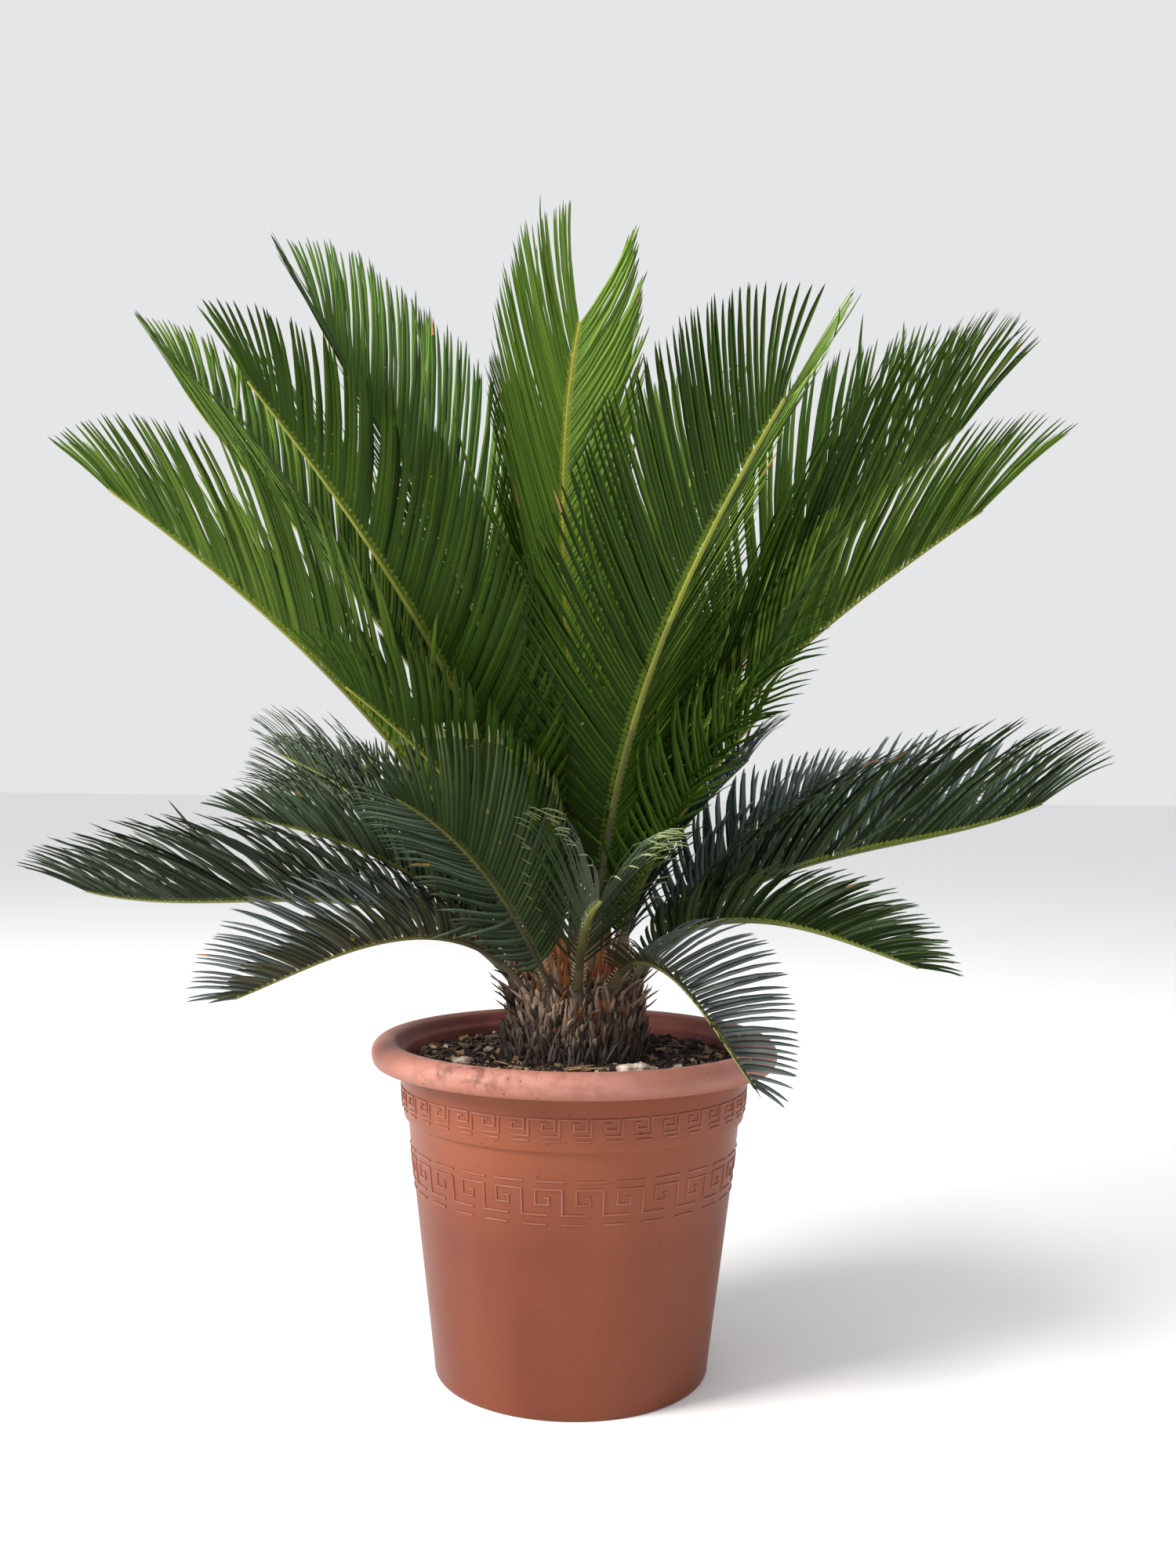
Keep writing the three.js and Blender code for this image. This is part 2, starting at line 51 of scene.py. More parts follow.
def gridQuads(rows, columns, closed=True):
    # Faces of a grid of points kept row by row; closed joins the last column to the first.
    row = np.arange(rows - 1)[:, None] * columns
    here = np.arange(columns if closed else columns - 1)[None, :]
    after = (here + 1) % columns
    return np.stack([row + here, row + after, row + columns + after, row + columns + here], -1).reshape(-1, 4)


def fan(center, ring, flip=False):
    # Triangles from a middle point to a closed ring of points.
    after = np.roll(ring, -1)
    first, second = (after, ring) if flip else (ring, after)
    return np.stack([np.full(len(ring), center), first, second], -1)


def manyTimes(faces, count, step):
    # The same faces for count copies whose points follow each other, step points apart.
    return (faces[None] + (np.arange(count) * step)[:, None, None]).reshape(-1, faces.shape[1])


def unit(vectors):
    return vectors / np.linalg.norm(vectors, axis=-1, keepdims=True)


def level(turn):
    # The level direction at an angle round the upright axis: (cos turn, sin turn, 0).
    return np.stack([np.cos(turn), np.sin(turn), np.zeros_like(turn)], -1)


def squared(face, ahead):
    # The direction nearest to face that stands square to ahead.
    return unit(face - (face * ahead).sum(-1, keepdims=True) * ahead)


def turned(angle, first, second):
    # A direction turned from the first one towards the second: cos(angle) first + sin(angle) second.
    return np.cos(angle)[..., None] * first + np.sin(angle)[..., None] * second


def makeMesh(name, points, quads, triangles=None, uv=None, kinds=None, smooth=True):
    # points in millimetres; kinds is the material number of each face, quads first.
    quads = np.asarray(quads, int).reshape(-1, 4)
    triangles = np.zeros((0, 3), int) if triangles is None else np.asarray(triangles, int).reshape(-1, 3)
    corners = np.concatenate([quads.ravel(), triangles.ravel()])
    sizes = np.concatenate([np.full(len(quads), 4), np.full(len(triangles), 3)])
    points = np.asarray(points, float).reshape(-1, 3)
    mesh = bpy.data.meshes.new(name)
    mesh.vertices.add(len(points))
    mesh.vertices.foreach_set("co", (points * mm).ravel())
    mesh.loops.add(len(corners))
    mesh.loops.foreach_set("vertex_index", corners)
    mesh.polygons.add(len(sizes))
    mesh.polygons.foreach_set("loop_start", np.cumsum(sizes) - sizes)
    mesh.polygons.foreach_set("use_smooth", np.full(len(sizes), smooth))
    if kinds is not None:
        mesh.polygons.foreach_set("material_index", np.asarray(kinds, int))
    if uv is not None:
        layer = mesh.uv_layers.new(name="place")
        layer.data.foreach_set("uv", np.asarray(uv, float).reshape(-1, 2)[corners].ravel())
    mesh.update(calc_edges=True)
    mesh.validate()
    return mesh


def addPiece(mesh, materials, slot, *nodes):
    # Puts a mesh in the scene as a piece of the plant that stands for the named nodes.
    piece = bpy.data.objects.new(mesh.name, mesh)
    bpy.context.scene.collection.objects.link(piece)
    for material in materials:
        mesh.materials.append(material)
    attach(piece, "root")
    if nodes:
        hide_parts(*nodes)
    return piece


def ripple(points, size, seed, waves=10):
    # Smooth roughness between about -1 and 1: plane waves of length size with seeded headings, added up.
    dice = np.random.default_rng(seed)
    heading = unit(dice.normal(size=(waves, 3))) * dice.uniform(0.7, 1.5, (waves, 1)) * 2 * math.pi / size
    phase = dice.uniform(0, 2 * math.pi, waves)
    return np.sin(points @ heading.T + phase).sum(-1) / math.sqrt(waves) / 1.3


def blades(start, ahead, face, length, width, thick, outline, curl=0, hook=1, sway=0, keel=plainKeel):
    # Thin closed blades. ahead is where each sets off and face where its upper side looks; outline has
    # rows of (share of length, share of width). Along its length a blade swings by sway towards its side
    # and curls towards its face by curl times (share of length to the power hook - 1 / (hook + 1)), both
    # in degrees, so its tip stays near the straight line. Its section has four corners: keel gives the
    # heights of the two edges, the ridge and the underside in thicknesses.
    count = len(start)
    outline = np.asarray(outline, float)
    v = outline[:, 0]
    ahead, face, side = ahead[:, None], face[:, None], np.cross(ahead, face)[:, None]
    swing = np.radians(np.broadcast_to(sway, count))[:, None] * v
    heading, across = turned(swing, ahead, side), turned(swing, side, -ahead)
    bend = np.radians(np.broadcast_to(curl, count))[:, None] * (v ** hook - 1 / (hook + 1))
    move, over = turned(bend, heading, face), turned(bend, face, -heading)
    steps = 0.5 * (move[:, 1:] + move[:, :-1]) * np.diff(v)[:, None]
    steps = steps * np.broadcast_to(length, count)[:, None, None]
    line = start[:, None] + np.concatenate([np.zeros((count, 1, 3)), np.cumsum(steps, 1)], 1)
    half = 0.5 * np.broadcast_to(width, count)[:, None] * outline[None, :, 1]
    deep = np.broadcast_to(thick, count)[:, None] * np.minimum(1, 0.35 + outline[None, :, 1])
    edge, ridge, under = keel
    ring = [line + sideways * half[..., None] * across + height * deep[..., None] * over
            for sideways, height in ((1, edge), (0, ridge), (-1, edge), (0, under))]
    body = np.stack(ring, 2)[:, :-1]  # blade, row, corner, xyz
    points = np.concatenate([body.reshape(count, -1, 3), line[:, -1:]], 1)
    rows = len(outline) - 1
    quads = np.concatenate([gridQuads(rows, 4), [[3, 2, 1, 0]]])
    triangles = fan(rows * 4, np.arange(4) + rows * 4 - 4)
    place = np.stack([np.tile([0, 0.5, 1, 0.5], rows), np.repeat(outline[:-1, 0], 4)], 1)
    uv = np.tile(np.concatenate([place, [[0.5, 1]]]), (count, 1))
    step = rows * 4 + 1
    return points.reshape(-1, 3), manyTimes(quads, count, step), manyTimes(triangles, count, step), uv


def together(parts):
    # Joins sets of (points, quads, triangles, uv) into one.
    offset, bags = 0, [[], [], [], []]
    for points, quads, triangles, uv in parts:
        for bag, piece in zip(bags, (points, quads + offset, triangles + offset, uv)):
            bag.append(piece)
        offset += len(points)
    return [np.concatenate(bag) for bag in bags]


def roundedLine(corners, steps=5):
    # A line through (radius, height, fillet) corners; each fillet is a curve that leaves its corner out.
    corners = np.asarray(corners, float)
    line = [corners[:1, :2]]
    t = np.linspace(0, 1, steps + 1)[:, None]
    for before, (radius, height, fillet), after in zip(corners[:-2, :2], corners[1:-1], corners[2:, :2]):
        here = np.array([radius, height])
        back, on = before - here, after - here
        back = back * min(0.5, fillet / np.linalg.norm(back))
        on = on * min(0.5, fillet / np.linalg.norm(on))
        line.append(here + (1 - t) ** 2 * back + t ** 2 * on)
    return np.concatenate(line + [corners[-1:, :2]])


def lathe(line, segments):
    # A (radius, height) line turned round the upright axis: x = r cos a, y = r sin a.
    angle = 2 * np.pi * np.arange(segments) / segments
    return line[:, None, :1] * level(angle) + line[:, None, 1:] * up


def closedLathe(name, grid, first, last, **options):
    # A mesh of rings, closed at both ends with a point on the axis; the first ring is seen from below.
    rows, columns = grid.shape[:2]
    points = np.concatenate([grid.reshape(-1, 3), [[0, 0, first], [0, 0, last]]])
    ring = np.arange(columns)
    ends = np.concatenate([fan(rows * columns, ring, flip=True),
                           fan(rows * columns + 1, ring + (rows - 1) * columns)])
    return makeMesh(name, points, gridQuads(rows, columns), ends, **options)


def endKinds(kinds, columns):
    # Finishes of a closed lathe's faces: its ends have the ones of its first and last rings, 0 and 1.
    return np.concatenate([kinds, np.zeros(columns), np.ones(columns)])


class Value:
    # Wraps a socket: each operator adds a Math node.
    def __init__(self, finish, socket):
        self.finish = finish
        self.socket = socket

    def math(self, operation, first, second):
        return self.finish.node("ShaderNodeMath", {"operation": operation}, {0: first, 1: second})

    def __add__(self, other):
        return self.math("ADD", self, other)

    def __sub__(self, other):
        return self.math("SUBTRACT", self, other)

    def __rsub__(self, other):
        return self.math("SUBTRACT", other, self)

    def __mul__(self, other):
        return self.math("MULTIPLY", self, other)

    __radd__, __rmul__ = __add__, __mul__


class Finish:
    # One material on a Principled shader.
    def __init__(self, name, roughness=0.5, specular=0.5):
        self.material = bpy.data.materials.new(name)
        self.material.use_nodes = True
        self.tree = self.material.node_tree
        self.shader = self.tree.nodes["Principled BSDF"]
        self.feed(self.shader.inputs["Roughness"], roughness)
        self.feed(self.shader.inputs["Specular IOR Level"], specular)

    def set(self, color=None, roughness=None, normal=None):
        for name, value in (("Base Color", color), ("Roughness", roughness), ("Normal", normal)):
            if value is not None:
                self.feed(self.shader.inputs[name], value)
        return self.material

    def feed(self, socket, value):
        if isinstance(value, Value):
            self.tree.links.new(value.socket, socket)
        elif isinstance(value, tuple) and socket.type == "RGBA":
            socket.default_value = (*value, 1)
        else:
            socket.default_value = value

    def node(self, kind, settings=None, values=None, output=0):
        # Adds a node: settings first, a ramp's stops as (place, level or colour), then values or links.
        made = self.tree.nodes.new(kind)
        for key, setting in (settings or {}).items():
            if key == "stops":
                elements = made.color_ramp.elements
                while len(elements) < len(setting):
                    elements.new(0.5)
                for element, (place, color) in zip(elements, setting):
                    element.position = place
                    element.color = (*color, 1) if isinstance(color, tuple) else (color, color, color, 1)
            else:
                setattr(made, key, setting)
        for key, value in (values or {}).items():
            self.feed(made.inputs[key], value)
        return Value(self, made.outputs[output])

    def place(self, squash=1):
        # Object coordinates; patterns on them come out taller where squash is under 1.
        spot = self.node("ShaderNodeTexCoord", output=3)
        if squash == 1:
            return spot
        return self.node("ShaderNodeMapping", None, {"Vector": spot, "Scale": (1, 1, squash)})

    def height(self):
        return self.node("ShaderNodeSeparateXYZ", None, {0: self.place()}, output=2)

    def noise(self, scale, detail=3, squash=1):
        return self.node("ShaderNodeTexNoise", None,
                         {"Vector": self.place(squash), "Scale": scale, "Detail": detail, "Roughness": 0.55})

    def ramp(self, value, *stops):
        return self.node("ShaderNodeValToRGB", {"stops": stops}, {0: value})

    def climb(self, value, start, end, top=1.0):
        # 0 up to start, then evenly up to top at end.
        return self.ramp(value, (start, 0.0), (end, top))

    def patches(self, scale, detail, start, end, top=1.0, squash=1):
        # Noise cut into soft-edged patches: 0 where it is under start, top where it is over end.
        return self.climb(self.noise(scale, detail, squash), start, end, top)

    def mix(self, factor, first, second):
        return self.node("ShaderNodeMix", {"data_type": "RGBA"}, {0: factor, 6: first, 7: second}, output=2)

    def bump(self, height, strength=0.3, distance=0.001):
        return self.node("ShaderNodeBump", None, {"Height": height, "Strength": strength, "Distance": distance})


def shade(color, factor):
    return tuple(c * factor for c in color)


def mottled(name, dark, pale, cloud, roughness, specular, bump=None):
    # Cloudy between two tones. cloud is a noise's scale and detail, bump has the same of a second one,
    # then its strength and distance.
    made = Finish(name, roughness, specular)
    normal = made.bump(made.noise(*bump[:2]), *bump[2:]) if bump else None
    return made.set(made.mix(made.noise(*cloud), dark, pale), None, normal)


studio = dict(
    camera=(0.0092, -1.285, 0.511), roll=-0.66, lens=33.3, shift=0.002,
    floor=(0.90, 0.90, 0.90), sky=(0.98, 0.99, 1.0), skyStrength=0.80,
    lit=(0, 0, 0.55),  # what the lamps point at
    lamps=dict(
        key=dict(place=(-2.7, -1.3, 2.3), size=1.6, energy=215, tint=(1.0, 0.975, 0.94)),
        fill=dict(place=(2.2, -1.6, 1.2), size=2.0, energy=3, tint=(0.94, 0.97, 1.0)),
        top=dict(place=(-0.3, -0.6, 3.2), size=1.2, energy=40, tint=(1.0, 1.0, 1.0)),
    ),
)


def makeStudio():
    scene = bpy.context.scene
    camera = bpy.data.objects.new("camera", bpy.data.cameras.new("camera"))
    camera.location = studio["camera"]
    camera.rotation_euler = (math.radians(90), math.radians(studio["roll"]), 0)
    camera.data.lens = studio["lens"]
    camera.data.sensor_width = 36
    camera.data.shift_y = studio["shift"]
    camera.data.clip_end = 200
    scene.collection.objects.link(camera)
    scene.camera = camera

    # The floor is a wide flat grid.
    side = np.array([-60000, 0, 60000], float)
    spots = np.stack([*np.meshgrid(side, side), np.zeros((3, 3))], -1)
    floorMesh = makeMesh("floor", spots, gridQuads(3, 3, closed=False))
    floor = bpy.data.objects.new("floor", floorMesh)
    pale = studio["floor"]
    floorMesh.materials.append(mottled("pale_floor", shade(pale, 0.99), pale, (1.5, 2), 0.8, 0.2))
    scene.collection.objects.link(floor)

    for name, lamp in studio["lamps"].items():
        data = bpy.data.lights.new(name, "AREA")
        data.shape = "DISK"
        data.size = lamp["size"]
        data.energy = lamp["energy"]
        data.color = lamp["tint"]
        light = bpy.data.objects.new(name, data)
        light.location = lamp["place"]
        x, y, z = np.array(studio["lit"]) - lamp["place"]
        light.rotation_euler = (math.atan2(math.hypot(x, y), -z), 0, math.atan2(-x, y))
        scene.collection.objects.link(light)

    world = bpy.data.worlds.new("soft_sky")
    world.use_nodes = True
    sky = world.node_tree.nodes["Background"]
    sky.inputs["Color"].default_value = (*studio["sky"], 1)
    sky.inputs["Strength"].default_value = studio["skyStrength"]
    scene.world = world
    scene.view_settings.view_transform = "Standard"
    print("studio ready")


makeStudio()


pot = dict(
    segments=240,
    # radius, height and fillet of each corner: underside, wall, collar and rolled rim, then down inside
    outside=[(86, 0, 0), (114.6, 0, 1.2), (119.6, 0, 4.6), (120.6, 12, 4), (131.6, 102, 20),
             (141.5, 185, 20), (144.9, 216, 6), (145.6, 222.2, 1.2), (149.0, 224.0, 1.8), (150.2, 231, 3),
             (151.4, 244, 6), (152.0, 267.0, 4), (152.6, 270.2, 1.0), (173.6, 269.8, 1.2), (176.0, 270.6, 1.6),
             (178.0, 275.2, 4), (178.5, 279.8, 4), (176.8, 285.8, 5), (169.8, 290.9, 6), (161.5, 290.8, 4)],
    inside=[(155.4, 286.6, 3), (153.2, 281.5, 3), (149.0, 278.6, 2), (148.2, 268, 6), (147.0, 232, 5),
            (141.6, 219, 3), (115.8, 7.5, 3), (112, 6, 2), (86, 6, 0)],
    drains=5, drainRadius=7, drainCircle=78, drainCut=(-3, 9),
    # the key pattern: one unit's raised lines as (along, up) corners, its number round the pot,
    # the height of its top line and the turn of its first unit in degrees
    wallKey=dict(units=27, top=199.5, turn=-88.45, strokes=[
        [(-0.5, 0), (23.5, 0)],
        [(7, -13.2), (10.8, -13.2), (10.8, -18.8), (0, -18.8), (0, -6.4), (21.9, -6.4), (21.9, -27.2),
         (43.6, -27.2)],
        [(21.9, -35), (42.4, -35)]]),
    collarKey=dict(units=38, top=250.5, turn=-93.8, strokes=[
        [(-14.7, -13.3), (0, -13.3), (0, 0), (21.3, 0), (21.3, -8.3), (11.3, -8.3), (11.3, -3.3), (15.5, -3.3)],
        [(-12.2, -17.2), (0, -17.2)]]),
    # the last is how much pale rub the raised lines take: partly wear, partly painted highlight on their tops
    ridgeWidth=1.7, ridgeHeight=0.9, ridgeSink=0.4, wearAndHighlight=0.45,
    clay=(0.138, 0.032, 0.0118), clayRed=(0.120, 0.0235, 0.0100), clayPale=(0.205, 0.053, 0.021),
    rubAndHighlight=(0.36, 0.158, 0.122), inner=(0.215, 0.060, 0.048), dust=(0.14, 0.08, 0.06),
    speck=(0.07, 0.03, 0.022), scuff=(0.15, 0.055, 0.04),
    # in metres: the rim's most scuffed spot, where the wall turns paler, and where the rim's wear begins
    scuffed=(-0.079, -0.157, 0.285), paleFrom=(0.14, 0.22), rimFrom=(0.266, 0.278),
)


def potPlastic(name, wearAndHighlight=0):
    # Moulded terracotta plastic: cloudy tone, pale rubbed rim with dull scuffs, dark specks, fine grain.
    clay = Finish(name, 0.46, 0.25)
    cloud = clay.patches(8, 4, 0.36, 0.66)
    drift = clay.patches(5, 3, 0.45, 0.7, 0.7, 0.3)
    tone = clay.mix(cloud, pot["clayRed"], pot["clay"])
    tone = clay.mix(drift + clay.climb(clay.height(), *pot["paleFrom"], 0.8), tone, pot["clayPale"])
    # Pale rub in patches, set for the raised lines: partly wear, partly painted highlight on their tops.
    tone = clay.mix(clay.ramp(clay.noise(22, 3), (0.4, 0.3 * wearAndHighlight), (0.65, wearAndHighlight)), tone, pot["rubAndHighlight"])
    onRim = clay.climb(clay.height(), *pot["rimFrom"])
    wear = clay.ramp(clay.noise(16, 4, 1.6), (0.3, 0.55), (0.6, 1.0))
    tone = clay.mix(onRim * wear, tone, pot["rubAndHighlight"])
    ends = {0: clay.place(), 1: pot["scuffed"]}
    worst = clay.node("ShaderNodeVectorMath", {"operation": "DISTANCE"}, ends, output=1)
    scuffs = clay.patches(7, 1, 0.54, 0.62, 0.7) + (1 - clay.climb(worst, 0.010, 0.040))
    tone = clay.mix(clay.patches(95, 7, 0.47, 0.64) * scuffs * onRim * 0.6, tone, pot["scuff"])
    tone = clay.mix(clay.patches(210, 1, 0.735, 0.765) * 0.75, tone, pot["speck"])
    return clay.set(tone, 0.36 + cloud * 0.12 + onRim * 0.1,
                    clay.bump(clay.noise(700, 2) * 0.2 + clay.noise(28, 3, 0.25), 0.2, 0.0006))


def insidePlastic():
    # The inside of the wall, and the inner half of the rolled rim as painted shade: the same plastic, with
    # cloudy patches and dust.
    dark = Finish("pot_inside", 0.6, 0.3)
    tone = dark.mix(dark.patches(14, 5, 0.3, 0.7, 1.0, 1.8), pot["inner"], shade(pot["inner"], 1.7))
    tone = dark.mix(dark.patches(60, 4, 0.5, 0.75, 0.3), tone, pot["dust"])
    return dark.set(tone, None, dark.bump(dark.noise(220, 3), 0.3, 0.0005))


def wallRadius(height):
    # Outside radius of the wall or the collar at a height, from the pot's own corners.
    corners = np.array(pot["outside"])[2:12]
    return np.interp(height, corners[:, 1], corners[:, 0])


def keyPattern(name, key, material):
    # Each raised line is a low rounded section carried along its corners, mitred where it turns, then
    # wrapped round the wall: turn = along / radius.
    reach = wallRadius(key["top"])
    half, tall, sink = pot["ridgeWidth"] / 2, pot["ridgeHeight"], pot["ridgeSink"]
    section = np.array([(half, -sink), (half * 0.75, tall * 0.75), (half * 0.3, tall), (-half * 0.3, tall),
                        (-half * 0.75, tall * 0.75), (-half, -sink)])
    parts = []
    for corners in key["strokes"]:
        corners = np.array(corners, float)
        runs = [np.linspace(a, b, max(1, math.ceil(np.abs(b - a).max() / 4)), endpoint=False)
                for a, b in zip(corners[:-1], corners[1:])]
        line = np.concatenate(runs + [corners[-1:]])
        heading = unit(np.diff(line, axis=0))
        mitre = np.concatenate([heading[:1], heading]) + np.concatenate([heading, heading[-1:]])
        mitre = mitre * 2 / (mitre ** 2).sum(-1, keepdims=True)
        normal = np.stack([-mitre[:, 1], mitre[:, 0]], -1)
        flat = line[:, None] + normal[:, None] * section[None, :, :1]  # place, section corner, (along, up)
        turn = np.radians(key["turn"] + np.arange(key["units"]) * 360 / key["units"])
        height = key["top"] + flat[..., 1]
        radius = wallRadius(height) + section[:, 1]
        turn = turn[:, None, None] + flat[..., 0] / reach
        points = (level(turn) * radius[..., None] + height[..., None] * up).reshape(-1, 3)
        places = len(line)
        caps = np.array([[0, 1, 4, 5], [1, 2, 3, 4]])
        faces = np.concatenate([gridQuads(places, 6)[:, ::-1], caps, caps[:, ::-1] + (places - 1) * 6])
        parts.append((points, manyTimes(faces, key["units"], places * 6), np.zeros((0, 3), int), points[:, :2]))
    points, quads, triangles, uv = together(parts)
    addPiece(makeMesh(name, points, quads, smooth=False), [material], "pot_plastic")


def makePot():
    outside = roundedLine(pot["outside"] + pot["inside"][:1])[:-1]
    line = np.concatenate([outside, roundedLine(pot["outside"][-1:] + pot["inside"])[1:]])
    grid = lathe(line, pot["segments"])
    # The inside finish begins at the inner edge of the rim's top, so the inner half of the rolled rim is
    # painted shade, without the rim's pale rub.
    quadRows = np.arange((len(line) - 1) * pot["segments"]) // pot["segments"]
    kinds = endKinds(quadRows >= len(outside) - 1, pot["segments"])
    mesh = closedLathe("flower_pot", grid, 0, pot["inside"][-1][1], kinds=kinds)
    # The raised lines get the paler finish: partly wear, partly painted highlight where light catches their
    # tops.
    material, wearAndHighlight = potPlastic("terracotta_plastic"), potPlastic("ridge_rub_and_highlight", pot["wearAndHighlight"])
    piece = addPiece(mesh, [material, insidePlastic()], "pot_plastic", "pot")

    # Drain holes are cut through the floor, and the cut is kept in the mesh.
    plugs = []
    low, high = pot["drainCut"]
    for turn in 2 * np.pi * (np.arange(pot["drains"]) + 0.5) / pot["drains"]:
        ring = lathe(np.array([[pot["drainRadius"], low], [pot["drainRadius"], high]], float), 32)
        plug = bpy.data.objects.new("drain", closedLathe("drain", ring, low, high))
        plug.location = pot["drainCircle"] * mm * level(turn)
        bpy.context.scene.collection.objects.link(plug)
        cut = piece.modifiers.new("drain", "BOOLEAN")
        cut.operation = "DIFFERENCE"
        cut.object = plug
        plugs.append(plug)
    bpy.context.view_layer.update()
    piece.data = bpy.data.meshes.new_from_object(piece.evaluated_get(bpy.context.evaluated_depsgraph_get()))
    piece.data.name = "flower_pot"
    piece.modifiers.clear()
    for plug in plugs:
        bpy.data.objects.remove(plug)

    keyPattern("wall_key_pattern", pot["wallKey"], wearAndHighlight)
    keyPattern("collar_key_pattern", pot["collarKey"], wearAndHighlight)
    print("pot ready")


makePot()


soil = dict(
    rings=90, segments=240, wobble=1.6, crumbs=1.0,
    # radius and height: up inside the wall, then of the top, from the stem out to the wall
    side=[(108, 6.5), (115, 7.5), (140.8, 216), (146.4, 232)],
    radii=[0, 60, 82, 130, 147], heights=[276, 276, 275, 272, 269],
    brown=(0.030, 0.019, 0.014), damp=(0.010, 0.007, 0.006), dusty=(0.085, 0.060, 0.045),
)


def soilPlace(radius, turn):
    # Points on the soil, which falls from the stem to the wall, with lumps of 22 mm and crumbs of 6 mm.
    spot = level(turn) * radius[..., None]
    fall = np.interp(np.hypot(spot[..., 0], spot[..., 1]), soil["radii"], soil["heights"])
    lumps = soil["wobble"] * ripple(spot, 22, 5) + soil["crumbs"] * ripple(spot, 6, 6, 14)
    return spot + (fall + lumps)[..., None] * up


def makeSoil():
    earth = Finish("potting_mix", 0.95, 0.2)
    lumps, crumbs = earth.noise(60, 6), earth.noise(420, 4)
    tone = earth.mix(earth.climb(lumps, 0.35, 0.65), soil["damp"], soil["brown"])
    tone = earth.mix(earth.climb(crumbs, 0.56, 0.72, 0.8), tone, soil["dusty"])
    material = earth.set(tone, None, earth.bump(crumbs + lumps * 0.7, 0.8, 0.002))

    # One closed body: up inside the wall, then rings in to the middle, closer together near the wall.
    side = np.array(soil["side"])
    radii = np.linspace(1, 0, soil["rings"])[:-1] ** 0.8 * side[-1, 0]
    turn = 2 * np.pi * np.arange(soil["segments"]) / soil["segments"]
    top = soilPlace(*np.broadcast_arrays(radii[:, None], turn))
    middle = soilPlace(np.zeros(1), np.zeros(1))[0, 2]
    grid = np.concatenate([lathe(side, soil["segments"]), top])
    addPiece(closedLathe("soil_surface", grid, side[0, 1], middle), [material], "soil", "potting_soil")


chips = dict(
    count=2600, between=(62, 144.5), within=145.5,  # within: no chip reaches past this radius
    size=(1.3, 10.5, 3.2),  # smallest, largest, and a power that makes more of them small
    width=(0.35, 0.8), height=(0.18, 0.45), crooked=(0.5, 1.15), tilt=0.32,
    # where straw-coloured and pale chips gather: front left and front right, and how widely
    straw=(3.9, 0.6), pale=(5.2, 0.45),
    # a chip's lot between 0 and 1: straw under the first number, pale or ash over it; the second one
    # is how many more there are where they gather
    strawUnder=(0.08, 0.34), paleOver=(0.96, 0.4), ashOver=0.72,
    tones=dict(bark=(0.045, 0.026, 0.018), straw=(0.34, 0.22, 0.10), pale=(0.44, 0.38, 0.30),
               ash=(0.13, 0.10, 0.085)),
)

litter = dict(
    count=60, between=(72, 128), length=(9, 30), width=(1.5, 3.8), thick=0.9, curl=(-12, 6), sway=(-30, 30),
    outline=[(0, 0.6), (0.2, 1), (0.5, 1), (0.8, 0.6), (1, 0)],
    dark=(0.09, 0.05, 0.028), dry=(0.30, 0.19, 0.09),
)


def strewn(dice, kind):
    # Radius and turn of seeded places, even over the ring of soil between two radii.
    near, far = kind["between"]
    radius = np.sqrt(dice.uniform(near ** 2, far ** 2, kind["count"]))
    return radius, dice.uniform(0, 2 * np.pi, kind["count"])


